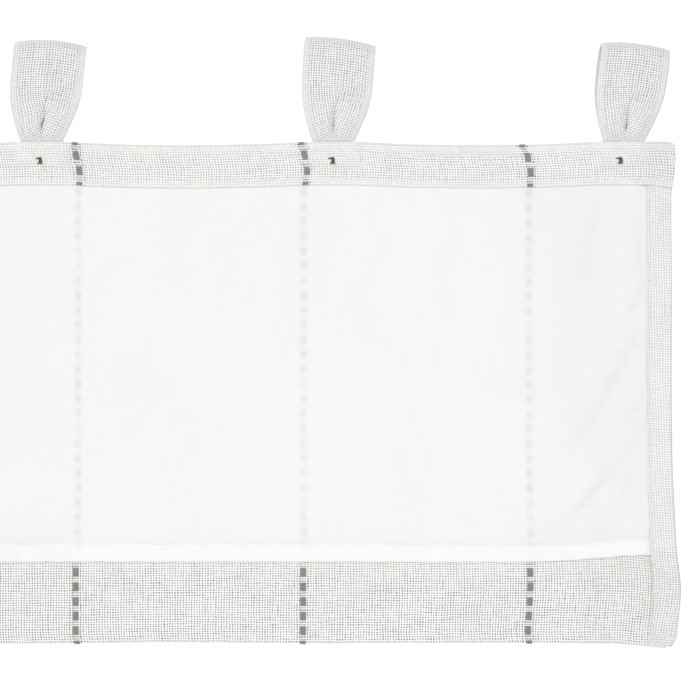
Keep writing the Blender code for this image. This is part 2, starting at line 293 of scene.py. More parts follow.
def wave(across, down):
    """How far the cloth's waves and small unevenness stand towards the room."""
    share = np.maximum(down, 0.0) / PANEL_DROP
    depth = WAVE_AT_HEADING + (1 - WAVE_AT_HEADING) * share
    waves = sum(w.amplitude * np.sin(math.tau * across / w.length + w.phase) for w in WAVES)
    return depth * waves + sum(
        r.height * np.sin(math.tau * (across / r.across + down / r.down) + r.phase) for r in RIPPLES
    )


def hang(across, down, back=0.0):
    """Places of points of the flat cloth, down from the heading's top edge, in a layer that lies that
    far towards the lined back."""
    across, down, back = np.broadcast_arrays(*(np.asarray(a, float) for a in (across, down, back)))
    share = np.clip(down / PANEL_DROP, 0.0, 1.0)
    from_end = WIDTH / 2 - np.abs(across)
    out = eased(down, *EDGE_TABLE, EDGE_EASE) * np.exp(-from_end / EDGE_REACH)
    sag = eased(across, *TOP_EDGE, SAG_EASE) * (1 - share)
    wobble = HEM_WOBBLE * np.sin(math.tau * across / HEM_WOBBLE_LENGTH) * share**3
    reach = END_DROP_REACH + (END_DROP_REACH_AT_HEM - END_DROP_REACH) * share
    drop = END_DROP * (END_DROP_AT_HEADING + (1 - END_DROP_AT_HEADING) * share)
    drop = drop * smooth(down / HEADING_DEPTH) * smooth(1 - from_end / reach)
    x = across + np.where(across > 0, out, -out)
    y = PANEL_Y + wave(across, down) - back
    z = -TAB_RISE - down - sag - wobble - drop
    return np.stack([x, y, z], axis=-1)


def lining_back(down):
    share = smooth((down - HEADING_DEPTH) / (PANEL_DROP - BOTTOM_HEM - HEADING_DEPTH))
    return LINING_BACK_TOP + (LINING_BACK_FOOT - LINING_BACK_TOP) * share


def side_hem_back(down):
    over_lining = lining_back(down) + LAYER
    below = smooth((down - LINING_DROP) / (PANEL_DROP - LINING_DROP))
    return over_lining + (2 * LAYER - over_lining) * below


def rounded(down):
    """How far the ends of the heading and the panel are rounded off at their upper and lower corners."""
    from_corner = np.minimum(down, PANEL_DROP - down + CORNER_RADIUS / 3)
    corner = np.clip(CORNER_RADIUS - from_corner, 0.0, CORNER_RADIUS)
    return CORNER_RADIUS - np.sqrt(CORNER_RADIUS**2 - corner**2)


def foot_slant(down):
    """How far the side folds draw in at the lower corners."""
    return FOOT_SLANT * smooth(1 - (PANEL_DROP - down) / FOOT_SLANT_OVER)


def side_fold(down):
    """How far from the middle the panel's side fold begins."""
    turned = FOLD_FLATNESS * side_hem_back(down) / 2 + SOLID_CLOTH / 2
    return WIDTH / 2 - HEADING_OVERHANG - turned - rounded(down) - foot_slant(down)


def lining_foot(across):
    """How far down the lining reaches, which is less towards the ends."""
    from_start = np.abs(across) - (WIDTH / 2 - SIDE_HEM - LINING_RISE_REACH)
    return LINING_DROP - LINING_SIDE_RISE * (np.clip(from_start, 0.0, None) / LINING_RISE_REACH) ** 2


def lining_hem(across):
    """The height of the lining's hem, which is narrower towards the ends."""
    return LINING_HEM_MIDDLE - sum(stepped(step, np.abs(across)) for step in HEM_NARROWER)


def heading_over_tab(across):
    nearest = np.min([np.abs(across - tab_centre(i)) for i in range(TAB_COUNT)], axis=0)
    return smooth(1 - (nearest - TAB_FLAT_HALF) / BULGE_EASE)


def heading_back(across, down):
    """How far back the heading lies: it stands out over the side hems and over the tabs' tails."""
    fold = side_fold(HEADING_DEPTH) - SIDE_HEM
    over_side = smooth(1 + (np.abs(across) - fold) / BULGE_EASE)
    over_tail = heading_over_tab(across) * smooth(1 - (down - TAIL_COVER) / BULGE_EASE)
    side = (HEADING_BACK_OVER_SIDE - HEADING_BACK) * over_side
    tail = (HEADING_BACK_OVER_TAIL - HEADING_BACK) * over_tail
    pressed = EDGE_PRESS * smooth(1 - (HEADING_DEPTH - down) / EDGE_PRESS_OVER)
    return HEADING_BACK + np.maximum(side, tail) - pressed


def heading_lean(across, down):
    """How far right the heading's warp lies: one sway repeats over two stripes and fades at the foot, and
    another over four stripes, at the top edge alone."""
    turns = math.tau * (across - STRIPE_FIRST) / (2 * STRIPE_PITCH)
    sway = HEADING_SWAY / 2 * (1 - np.cos(turns)) * smooth((HEADING_SWAY_END - down) / HEADING_SWAY_OVER)
    sway = sway - TOP_SWAY * np.cos(turns / 2) * smooth(1 - down / TOP_SWAY_OVER)
    return eased(down, *HEADING_LEAN_TABLE, HEADING_LEAN_EASE) + sway


def flap_lean(across, rise):
    """How far right the bottom hem's warp lies. It leans a little near the right end, and sways to the left
    at every other stripe, all from nothing at the fold."""
    turns = math.tau * (across - STRIPE_FIRST) / (2 * STRIPE_PITCH)
    lean = FLAP_LEAN * rise / BOTTOM_HEM * smooth((across - FLAP_LEAN_FROM) / FLAP_LEAN_OVER)
    return lean - FLAP_SWAY / 2 * (1 + np.cos(turns)) * smooth(rise / FLAP_SWAY_OVER)


def to_path(points, x, y):
    """How far each point lies from a path, more than 0 on the path's right, and how far along the path
    its nearest place is."""
    nearest, along, passed = np.full(x.shape, np.inf), np.zeros(x.shape), 0.0
    for (x0, y0), (x1, y1) in zip(points, points[1:]):
        length = math.hypot(x1 - x0, y1 - y0)
        share = np.clip(((x - x0) * (x1 - x0) + (y - y0) * (y1 - y0)) / length**2, 0.0, 1.0)
        distance = np.hypot(x - x0 - share * (x1 - x0), y - y0 - share * (y1 - y0))
        side = np.where((x1 - x0) * (y - y0) > (y1 - y0) * (x - x0), 1, -1)
        closer = distance < np.abs(nearest)
        along = np.where(closer, passed + share * length, along)
        nearest = np.where(closer, side * distance, nearest)
        passed += length
    return nearest, along, passed


def creases(across, down):
    """How far the lining's soft creases stand out towards the back, at both ends of the valance."""
    height = np.zeros(np.broadcast(across, down).shape)
    for side in (1, -1):
        for crease in CREASES:
            right, along, length = to_path(crease.points, side * across, down)
            ends = smooth(along / CREASE_ENDS) * smooth((length - along) / CREASE_ENDS)
            step = smooth((1 - right / crease.width) / 2)
            rise = smooth(1 + (1 + right / crease.width) / CREASE_RISES_OVER)
            height += crease.height * ends * step * rise
    clear = smooth((down - HEADING_DEPTH) / CREASE_ENDS)
    from_side_hem = side_fold(CREASE_SIDE_DOWN) - SIDE_HEM - np.abs(across)
    return height * clear * smooth(from_side_hem / CREASE_SIDE_EASE)


def lining_lies(across, down):
    """How far back the lining's outer layer lies, with its creases."""
    low = smooth((down - (lining_foot(across) - LINING_LOW_FROM)) / LINING_LOW_OVER)
    return lining_back(down) - LINING_LOW * low + creases(across, down)


# ---------------------------------------------------------------------------------------------- cloth

# A grid of points with the place of each on the flat cloth, and the marks that its finish reads: where the
# weave is closed by a turned-in edge, which also paints it darker as shade, where the next layer backs its
# gaps, and how much shade is painted on it, which is less than 0 where light is painted on instead.
Grid = namedtuple("Grid", "points flat turned_in backed deep", defaults=(0.0, 0.0, 0.0))
MARKS = Grid._fields[2:]


def put(name, data):
    """An object of the scene, at the origin."""
    made = bpy.data.objects.new(name, data)
    bpy.context.scene.collection.objects.link(made)
    return made


# Rows and columns of the finer cloth, and how close to the edges its first rows lie.
PANEL_ROWS = 56
PANEL_COLUMNS = 300
PANEL_ROWS_END = 0.3250
EDGE_ROWS = 0.0030
LINED_OVER = 0.0030
FLAP_ROWS = 24
SIDE_HEM_COLUMNS = 14
HEADING_COLUMNS = 700
SAME_PLACE = 1e-6
CUT_EDGE_ROUNDING = 0.3


def collect(piece):
    """Makes the piece's modifiers part of its mesh."""
    evaluated = piece.evaluated_get(bpy.context.evaluated_depsgraph_get())
    mesh = bpy.data.meshes.new_from_object(evaluated)
    piece.modifiers.clear()
    piece.data = mesh
    mesh.name = piece.name
    return piece


def cloth(name, grids, thickness, finish):
    """One closed sheet of cloth from grids of points, joined where they share an edge."""
    made = bmesh.new()
    flat_map = made.loops.layers.uv.new("flat cloth")
    layers = {mark: made.verts.layers.float.new(mark) for mark in MARKS}
    for grid in grids:
        rows, columns = shape = grid.points.shape[:2]
        verts = [[made.verts.new(point) for point in row] for row in grid.points.tolist()]
        for mark, layer in layers.items():
            values = np.broadcast_to(getattr(grid, mark), shape).tolist()
            for row, row_values in zip(verts, values):
                for vert, value in zip(row, row_values):
                    vert[layer] = value
        flat_places = grid.flat.tolist()
        for r in range(rows - 1):
            for c in range(columns - 1):
                corners = ((r, c), (r + 1, c), (r + 1, c + 1), (r, c + 1))
                face = made.faces.new([verts[i][j] for i, j in corners])
                for loop, (i, j) in zip(face.loops, corners):
                    loop[flat_map].uv = flat_places[i][j]
    bmesh.ops.remove_doubles(made, verts=made.verts, dist=SAME_PLACE)
    bmesh.ops.recalc_face_normals(made, faces=made.faces)
    mesh = bpy.data.meshes.new(name)
    made.to_mesh(mesh)
    made.free()
    mesh.materials.append(finish)
    piece = put(name, mesh)
    solidify = piece.modifiers.new("thickness", "SOLIDIFY")
    solidify.thickness = thickness
    solidify.offset = 0.0
    bevel = piece.modifiers.new("soft cut edges", "BEVEL")
    bevel.width = thickness * CUT_EDGE_ROUNDING
    bevel.segments = 2
    bevel.limit_method = "ANGLE"
    bevel.angle_limit = math.radians(60)
    mesh.shade_smooth()
    return collect(piece)


def half_turn(steps):
    return np.arange(1, steps + 1)[:, None] * math.pi / steps


def across_list(half):
    """Places across one row: both ends, a point just inside each, and even steps between."""
    inner = np.linspace(-(half - FLAP_END_GAP), half - FLAP_END_GAP, PANEL_COLUMNS)
    return np.concatenate([[-half], inner, [half]])


def rows_across(downs):
    return np.stack([across_list(side_fold(down)) for down in downs.ravel()])


def flat(across, down):
    return np.stack(np.broadcast_arrays(across, down), axis=-1)


# The face panel's marks, on the flap by the height above the hem's fold, at the ends by the place across,
# and on the side hem by how far it is from the cut edge, or from the fold, in shares of the fold's width.
# Shade is painted on the flap near the ends, along the side hem's cut edge and below the lining.
FLAP_CLOSED = (Step(0.90, 0.0020, -0.0020), Step(0.20, 0.0440, 0.0040))
FLAP_NEAR_END = Step(1.0, 0.8300, 0.0300)
FLAP_END_CLOSED = 0.16
FLAP_END_SHADE = 0.03
HEM_EDGE_CLOSED = Step(0.65, 0.0032, -0.0008)
HEM_EDGE_SHADE = Step(0.09, 0.0036, -0.0008)
HEM_CLOSED = 0.25
HEM_FOLD_CLOSED = Step(0.35, 1.0, -1.0)
HEM_FOLD_WIDTH = 0.0020
HEM_BELOW_LINING = Step(1.0, 0.0020, -0.0020)
HEM_BELOW_SHADE = 0.05
HEM_BACKED = 0.40


def panel_grids():
    """The face panel with its bottom hem turned up and its side hems turned in, on the lined side."""
    fold_down = PANEL_DROP - LAYER / 2 - SOLID_CLOTH / 2
    downs = np.concatenate([
        [SOLID_CLOTH / 2 + GAP, EDGE_ROWS],
        np.linspace(2 * EDGE_ROWS, PANEL_ROWS_END, PANEL_ROWS),
        np.linspace(PANEL_ROWS_END + EDGE_ROWS, fold_down, 5),
    ])[:, None]
    dash_zero = fold_down - FLAP_DASH_START + WEFT_PITCH / 2
    lining_ends = PANEL_DROP - BOTTOM_HEM - downs
    lined = smooth((downs - LINING_TOP) / LINED_OVER) * smooth(lining_ends / LINED_OVER)
    across = rows_across(downs)
    main = Grid(hang(across, downs), flat(across, downs - dash_zero), backed=lined)

    angles = half_turn(6)
    rises = np.linspace(0.0020, BOTTOM_HEM, FLAP_ROWS)[:, None]
    flap_down = np.concatenate([
        downs[-1:], fold_down + LAYER / 2 * np.sin(angles), PANEL_DROP - rises
    ])
    back = np.concatenate([[[0.0]], LAYER / 2 * (1 - np.cos(angles)), np.full(rises.shape, LAYER)])
    folded = fold_down + LAYER / 2 * math.pi
    woven = np.concatenate([
        downs[-1:], fold_down + LAYER / 2 * angles, folded + rises - (PANEL_DROP - fold_down)
    ])
    across = rows_across(np.minimum(flap_down, fold_down))[:, 1:-1]
    rise = np.maximum(PANEL_DROP - flap_down, 0.0)
    near_end = stepped(FLAP_NEAR_END, np.abs(across))
    closed = sum(stepped(step, rise) for step in FLAP_CLOSED) + FLAP_END_CLOSED * near_end
    woven = flat(across - flap_lean(across, rise), woven - dash_zero)
    # Shade is painted on the flap near the ends.
    flap = Grid(hang(across, flap_down, back), woven, closed, deep=FLAP_END_SHADE * near_end)
    return [main, flap] + [side_hem_grid(side, downs[1:], dash_zero) for side in (-1, 1)]


def side_hem_grid(side, down, dash_zero):
    """One side hem of the panel, from its fold inwards over the lining."""
    fold, radius = side_fold(down), side_hem_back(down) / 2
    turn = half_turn(6).T
    inner = SIDE_HEM - FOLD_FLATNESS * radius
    inward = np.linspace(0.0015, 1.0, SIDE_HEM_COLUMNS)[None, :] * inner
    pressed = EDGE_PRESS * smooth(1 - (inner - inward) / EDGE_PRESS_OVER)
    start = hang(side * fold, down)
    bend = np.repeat(start, turn.shape[1], axis=1)
    bend[..., 0] += side * FOLD_FLATNESS * radius * np.sin(turn)
    bend[..., 1] -= radius * (1 - np.cos(turn))
    hem = hang(side * (fold - inward), down, side_hem_back(down) - pressed)
    points = np.concatenate([start, bend, hem], axis=1)
    girth = np.concatenate([fold, fold + radius * turn, fold + radius * math.pi + inward], axis=1)
    from_edge = fold + radius * math.pi + inner - girth
    from_fold = np.abs(girth - fold - radius * math.pi / 2) / HEM_FOLD_WIDTH
    at_fold = HEM_CLOSED + stepped(HEM_FOLD_CLOSED, from_fold)
    turned_in = np.maximum(stepped(HEM_EDGE_CLOSED, from_edge), at_fold)
    below = stepped(HEM_BELOW_LINING, lining_foot(side * fold) - down)
    # Shade is painted along the cut edge and below the lining.
    deep = stepped(HEM_EDGE_SHADE, from_edge) + HEM_BELOW_SHADE * below
    backed = np.broadcast_to(1 - (1 - HEM_BACKED) * below, girth.shape)
    return Grid(points, flat(side * girth, down - dash_zero), turned_in, backed, deep)


# How wide the shade painted along the lining's hem seam is, how soft the edge of its doubled hem is, where
# shade is painted on the lining near the side hems, and the rows of its hem.
LINING_HEM_SEAM = 0.0008
LINING_HEM_EDGE = 0.0012
LINING_NEAR_END = Step(0.90, 0.7900, 0.0700)
LINING_HEM_ROWS = (-0.0012, -0.0006, 0.0000, 0.0006, 0.0012, 0.0060)


def lining_grids():
    """The lining with its hem turned up towards the face panel, and its soft creases."""
    ends = side_fold(LINING_DROP) - SIDE_HEM + LINING_TUCKED_IN
    creased = np.linspace(CREASED_FROM, ends, 124)
    plain = np.linspace(-CREASED_FROM, CREASED_FROM, 128)[1:-1]
    across = np.concatenate([-creased[::-1], plain, creased])[None, :]
    fold = lining_foot(across) - LINING_TURN / 2 - LINING_CLOTH / 2
    hem_top = fold - lining_hem(across)
    share = np.linspace(0.0, 1.0, 102)[:, None]
    above = LINING_TOP + share * (hem_top - 1.5 * LINING_HEM_EDGE - LINING_TOP)
    down = np.concatenate([above, hem_top + np.array(LINING_HEM_ROWS)[:, None], fold])
    body = hang(across, down, lining_lies(across, down))
    doubled = smooth(0.5 + (down - hem_top) / LINING_HEM_EDGE)
    # Shade is painted along the hem's seam, and near the side hems above the doubled hem.
    seam_shade = np.exp(-(((down - hem_top) / LINING_HEM_SEAM + 1) ** 2))
    near_side_hem = stepped(LINING_NEAR_END, np.abs(across)) * (1 - doubled)
    grids = [Grid(body, flat(across, down), doubled, deep=np.maximum(seam_shade, near_side_hem))]

    turn, radius = half_turn(5), LINING_TURN / 2
    rest = lining_lies(across, fold)
    bend = hang(across, fold + radius * np.sin(turn), rest - radius * (1 - np.cos(turn)))
    rises = np.array([[0.5], [1.0]]) * LINING_HEM
    inside = hang(across, fold - rises, rest - LINING_TURN)
    points = np.concatenate([body[-1:], bend, inside])
    arc = np.concatenate([fold, fold + radius * turn, fold + radius * math.pi + rises])
    grids.append(Grid(points, flat(across, arc), 1.0))
    return grids


# The heading's marks: closed at its foot, at its lip and over the tabs' tails, and deeper in shade where
# it lies over the side hems.
HEADING_FOOT_CLOSED = Step(0.85, HEADING_DEPTH - 0.0042, 0.0008)
HEADING_LIP_CLOSED = Step(0.75, 0.0088, -0.0060)
HEADING_TAB_CLOSED = 0.55
HEADING_BACKED = 0.48
HEADING_OVER_SIDE = Step(0.07, WIDTH / 2 - SOLID_CLOTH / 2 - SIDE_HEM - 0.0100, 0.0100)


def heading_grids():
    """The strip along the top. Its upper lip turns over the panel's edge, but stays open at the tabs."""
    end = WIDTH / 2 - SOLID_CLOTH / 2
    across = np.linspace(-end, end, HEADING_COLUMNS)[None, :]
    down = np.concatenate([np.linspace(HEADING_DEPTH, 0.0050, 14), [0.0035, LIP_HEIGHT]])[:, None]
    angles = np.linspace(0.0, math.pi / 2, 6)[1:, None]
    near_end = smooth((np.abs(across) - (end - CORNER_RADIUS)) / CORNER_RADIUS)
    girth = np.concatenate([down, LIP_HEIGHT * (1 - angles)])
    all_down = np.concatenate([down, LIP_HEIGHT * (1 - np.sin(angles))])
    fitted = across * (1 - rounded(all_down) / end * near_end)
    back = heading_back(fitted, np.maximum(all_down, LIP_HEIGHT))
    curl = np.concatenate([np.zeros(down.shape), 1 - np.cos(angles)])
    back = back * (1 - (1 - heading_over_tab(fitted)) * curl)
    points = hang(fitted, all_down, back)
    over_tail = smooth(1 - (all_down - TAIL_COVER) / BULGE_EASE)
    over_tab = HEADING_TAB_CLOSED * heading_over_tab(fitted) * over_tail
    closed = np.maximum(stepped(HEADING_FOOT_CLOSED, all_down), stepped(HEADING_LIP_CLOSED, all_down))
    woven = (girth - HEADING_DASH_START) * DASH_PITCH / HEADING_DASH_PITCH + WEFT_PITCH / 2
    woven = flat(fitted - heading_lean(fitted, all_down), woven)
    over_side = stepped(HEADING_OVER_SIDE, np.abs(fitted))
    return [Grid(points, woven, np.maximum(closed, over_tab), HEADING_BACKED, over_side)]


def tab_half_width(tab, rise):
    share = np.sin(math.pi / 2 * np.clip(rise / TAB_SPREAD_HEIGHT, 0.0, 1.0))
    return (TAB_BASE_WIDTH + (tab.width - TAB_BASE_WIDTH) * share) / 2


def tab_slope(tab, rise):
    """The slope of the strip's edge, with which each half of the strip leans in."""
    quarter = math.pi / 2 / TAB_SPREAD_HEIGHT
    rise = np.clip(rise, 0.0, TAB_SPREAD_HEIGHT)
    return (tab.width - TAB_BASE_WIDTH) / 2 * quarter * np.cos(quarter * rise)


def tab_rows(tab, height):
    """The rows of a tab's strip: height above the seam, place towards the room, share of the pleat, how
    far the row lies to the left, how far along the strip it is and on which strand."""
    near, far = PANEL_Y - NEAR_TAIL, PANEL_Y - FAR_TAIL
    tail = np.linspace(-TAB_TAIL, 0.0, 4, endpoint=False)
    up = np.concatenate([tail, np.linspace(0.0, height, 33, endpoint=False)])
    turn = np.linspace(0.0, math.pi, 17)
    over = height + LOOP_RADIUS * np.sin(turn)
    down = up[::-1]
    rise = np.concatenate([up, over, down])
    parted = np.sin(math.pi / 2 * np.clip(rise, 0.0, height) / height)
    y_up = near - (LOOP_RADIUS + near) * parted
    y_down = far + (LOOP_RADIUS - far) * parted
    strand = np.concatenate([np.zeros(up.size), (1 - np.cos(turn)) / 2, np.ones(down.size)])
    y = np.where(strand == 0, y_up, y_down)
    y[up.size : up.size + turn.size] = -LOOP_RADIUS * np.cos(turn)
    behind = tab.behind * strand * np.where(strand == 1, parted, 1.0)
    full = height + LOOP_RADIUS * math.pi
    along = np.concatenate([up, height + LOOP_RADIUS * turn, full + height - down])
    pleat = np.where(strand == 0, 1.0, FAR_TUCK_SHARE) * (rise < height)
    return [part[:, None] for part in (rise, y, pleat, behind, along, strand)]


# The halves of a tab stand out a little, and leave a short slit between them above the seam, painted dark
# as shade: how high it starts and ends on tab after tab, how far right it lies and its upper end hooks, and
# how dark its painted shade is, which also sets how far it opens. With it stands how much further to the
# left the strand behind hangs.
SLIT_HALF = 0.00025
SLIT_HALF_CLOSED = 0.00004
SLIT_EASE = 0.0020
Slit = namedtuple("Slit", "low high right hook dark behind")
SLITS = (
    Slit(0.0094, 0.0158, -0.0009, 0.0018, 1.00, +0.0014),
    Slit(0.0096, 0.0142, -0.0007, 0.0003, 0.30, -0.0004),
    Slit(0.0064, 0.0134, +0.0004, 0.0002, 0.65, +0.0004),
)

# The pleat is a little wider than in the solid. By the height above the seam, the halves swell and flatten,
# the pleat's line moves aside and comes back, and the cut edges curl.
PLEAT_WIDER = 1.15
LOBE_STARTS = Step(0.0011, 0.0, 0.0060)
LOBE_ENDS = Step(1.0, 0.0360, -0.0240)
LOBE_FULLNESS = 0.8
SETS_IN_OVER = 0.0040
HOOK_AFTER = 0.0015
HOOK_OVER = 0.0080
HOOK_ENDS = Step(1.0, TUCK_HEIGHT, -0.0160)
EDGE_CURL = 0.0005
EDGE_CURL_OVER = 0.0011

# A tab's marks: closed at its seam, at its edges and, where it lies over the rod, at its top, with painted
# shade in the pleat and along the hems inside its edges, and with painted light at its top, where its gaps
# are painted lighter too. How near the top a row lies is a share of the loop.
TAB_TOP = Step(1.0, 0.44, -0.20)
TAB_TOP_CLOSED = 0.75
TAB_TOP_LIT = 0.24
TAB_SEAM_CLOSED = Step(0.85, 0.0055, -0.0040)
TAB_EDGE_CLOSED = Step(0.90, 0.0050, -0.0010)
TAB_BACKED = 0.36
TAB_FOOT_BACKED = Step(0.28, 0.0340, -0.0200)
TAB_TOP_LIT_GAPS = Step(0.64, 0.46, -0.46)
PLEAT_SHADE = 0.12
PLEAT_SHADE_FROM = Step(1.0, 0.25, 0.50)
TAB_HEM_LINE = 0.10
TAB_HEM_LINE_AT = 0.0042
TAB_HEM_LINE_HALF = 0.0005


def tab_half(rise, half, slit):
    """Places across one half of the strip, from the middle of the pleat to the strip's edge, and the
    share of the pleat's depth at each."""
    fold = TUCK_HALF_WIDTH * (1 + np.maximum(rise, 0.0) / TUCK_HEIGHT) * PLEAT_WIDER
    turn = np.linspace(0.0, math.pi / 2, 9)[None, :]
    pleat = slit + (fold - slit) * (1 - np.cos(turn))
    wide = fold + (half - EDGE_CURL_OVER - fold) * np.linspace(0.0, 1.0, 9)[None, 1:]
    edge = half - EDGE_CURL_OVER * np.array([[0.6, 0.3, 0.0]])
    out = np.concatenate([np.zeros(rise.shape), pleat, wide, edge], axis=1)
    beyond = np.zeros((1, wide.shape[1] + edge.shape[1]))
    return out, np.concatenate([[[1.0]], 1 - np.sin(turn), beyond], axis=1)


def tab_marks(cut, rise, strand, pleat_shade, from_edge):
    """Where the strip is closed, how far its gaps are backed, and how much shade is painted on it, which is
    less than 0 where light is painted on at the top.
    """
    from_top = np.abs(strand - 0.5)
    at_top = stepped(TAB_TOP, from_top)
    at_seam = stepped(TAB_SEAM_CLOSED, rise) * (strand < 0.5)
    closed = np.maximum(at_seam, TAB_TOP_CLOSED * at_top)
    turned_in = np.maximum(stepped(TAB_EDGE_CLOSED, from_edge), closed)
    # Gaps at the top are painted lighter, as painted light.
    backed = TAB_BACKED + stepped(TAB_FOOT_BACKED, rise) + stepped(TAB_TOP_LIT_GAPS, from_top)
    hem_shade = TAB_HEM_LINE * np.exp(-(((from_edge - TAB_HEM_LINE_AT) / TAB_HEM_LINE_HALF) ** 2))
    return turned_in, backed, cut.dark * pleat_shade + hem_shade - TAB_TOP_LIT * at_top


def tab_grids(index):
    """The strip of a tab from one tail, up and over the rod's place, to the other tail. Its halves meet
    in the pleat at its foot, each with the warp that leans in with its own edge."""
    tab, centre = TABS[index], tab_centre(index)
    cut = SLITS[(index - (TAB_COUNT - 3)) % 3]
    seam_z = float(hang(centre, 0.0)[2])
    height = tab.lift - seam_z
    rise, y, pleat, behind, along, strand = tab_rows(tab, height)
    half, angle = tab_half_width(tab, rise), np.arctan(tab_slope(tab, rise))
    behind = behind * (1 + cut.behind / tab.behind)
    opened = smooth((rise - cut.low) / SLIT_EASE) * smooth((cut.high - rise) / SLIT_EASE)
    out, dive = tab_half(rise, half, SLIT_HALF_CLOSED + (SLIT_HALF - SLIT_HALF_CLOSED) * opened * cut.dark)

    depth = smooth((rise - PLEAT_FROM) / TUCK_FULL_AT) * smooth((TUCK_HEIGHT - rise) / TUCK_FADES_OVER)
    lobe = stepped(LOBE_STARTS, rise) * stepped(LOBE_ENDS, rise) * (strand == 0)
    lobe = lobe * np.sin(math.pi * np.clip(out / half, 0.0, 1.0)) ** LOBE_FULLNESS
    curl = EDGE_CURL * np.clip(1 - (half - out) / EDGE_CURL_OVER, 0.0, 1.0) ** 2 * (strand < 0.5)
    push = pleat * TUCK_DEPTH * depth * dive - lobe + curl * smooth(rise / SETS_IN_OVER)
    hook = cut.right * smooth(rise / SETS_IN_OVER)
    hook = hook + cut.hook * smooth((rise - cut.low - HOOK_AFTER) / HOOK_OVER)
    hook = hook * stepped(HOOK_ENDS, rise) * (1 - (out / half) ** 2)
    lean = tab.sway * np.maximum(rise, 0.0) / height + hook
    lifted = smooth(rise / height)

    steps = np.hypot(np.diff(out, axis=1), np.diff(push, axis=1))
    from_edge = np.concatenate([np.cumsum(steps[:, ::-1], axis=1)[:, ::-1], np.zeros(rise.shape)], axis=1)
    straight = np.where(strand == 1, -1, 1) * (strand % 1 == 0)
    tilted = along - straight * (half - out) * np.sin(angle)
    # Shade is painted in the pleat, darkest where the slit opens.
    pleat_shade = pleat * (PLEAT_SHADE + (1 - PLEAT_SHADE) * opened) * stepped(PLEAT_SHADE_FROM, dive)
    marks = tab_marks(cut, rise, strand, pleat_shade, from_edge)
    grids = []
    for side in (-1, 1):
        across = side * out
        level = -tab.tilt * across / tab.width - tab.droop * (2 * across / tab.width) ** 2
        swing = wave(centre + across, 0.0) * (1 - lifted)
        points = [centre + across + lean - behind, y + swing + push, seam_z + rise + lifted * level]
        flat_across = side * (tab.width / 2 - from_edge * np.cos(angle))
        grids.append(Grid(np.stack(points, axis=-1), flat(flat_across, tilted), *marks))
    return grids


# ------------------------------------------------------------------------------------------ materials


def linear(hex_colour):
    """A colour in sRGB hex, as the linear values that a socket takes."""
    parts = [int(hex_colour[i : i + 2], 16) / 255 for i in (0, 2, 4)]
    return (*(p / 12.92 if p <= 0.04045 else ((p + 0.055) / 1.055) ** 2.4 for p in parts), 1.0)


def in_use(sockets):
    """The sockets that a node's settings leave in use."""
    return [socket for socket in sockets if socket.enabled]


def add(tree, kind, inputs=(), **settings):
    """Adds a node. Its inputs are values, sockets or nodes, by name or in the order of those in use. A
    node given as an input stands for its first output in use."""
    made = tree.nodes.new(kind)
    for setting, value in settings.items():
        setattr(made, setting, value)
    sockets = in_use(made.inputs)
    for key, value in inputs.items() if isinstance(inputs, dict) else enumerate(inputs):
        socket = sockets[key] if isinstance(key, int) else made.inputs[key]
        if isinstance(value, bpy.types.Node):
            value = in_use(value.outputs)[0]
        if isinstance(value, bpy.types.NodeSocket):
            tree.links.new(value, socket)
        else:
            socket.default_value = value
    return made


MATH, RANGE, MIX, NOISE = "ShaderNodeMath", "ShaderNodeMapRange", "ShaderNodeMix", "ShaderNodeTexNoise"
SPLIT, JOIN, SPLIT_COLOUR = "ShaderNodeSeparateXYZ", "ShaderNodeCombineXYZ", "ShaderNodeSeparateColor"
VECTOR_MATH = "ShaderNodeVectorMath"

# How often each unevenness of the coarse cotton repeats in a metre: its yarns wander every 14 mm, the layer
# behind lies closer or looser every 13 mm, its tone changes every 38 mm and its fuzz is 0.4 mm wide.
WANDER = 70.0
LOOSE = 75.0
PATCHY = 26.0
FUZZ = 2600.0

# In yarns: how far they wander, how far one lies aside, how thin and thick one gets, how slowly along it,
# and how much of a yarn's height is its own roundness. The rest comes from passing over the others.
YARN_WANDERS = 0.55
YARN_ASIDE = 0.20
YARN_THIN = 0.86
YARN_THICK = 1.16
YARN_CHANGES = 0.18
YARN_ROUNDNESS = 0.55
YARN_COVERS_FROM = 0.30

# Between which values most of a noise lies, of the one drawn for each yarn, and of the sum of two streaks.
NOISE_SPREAD = (0.3, 0.7)
YARN_SPREAD = (0.25, 0.75)
STREAK_SPREAD = (0.7, 1.3)


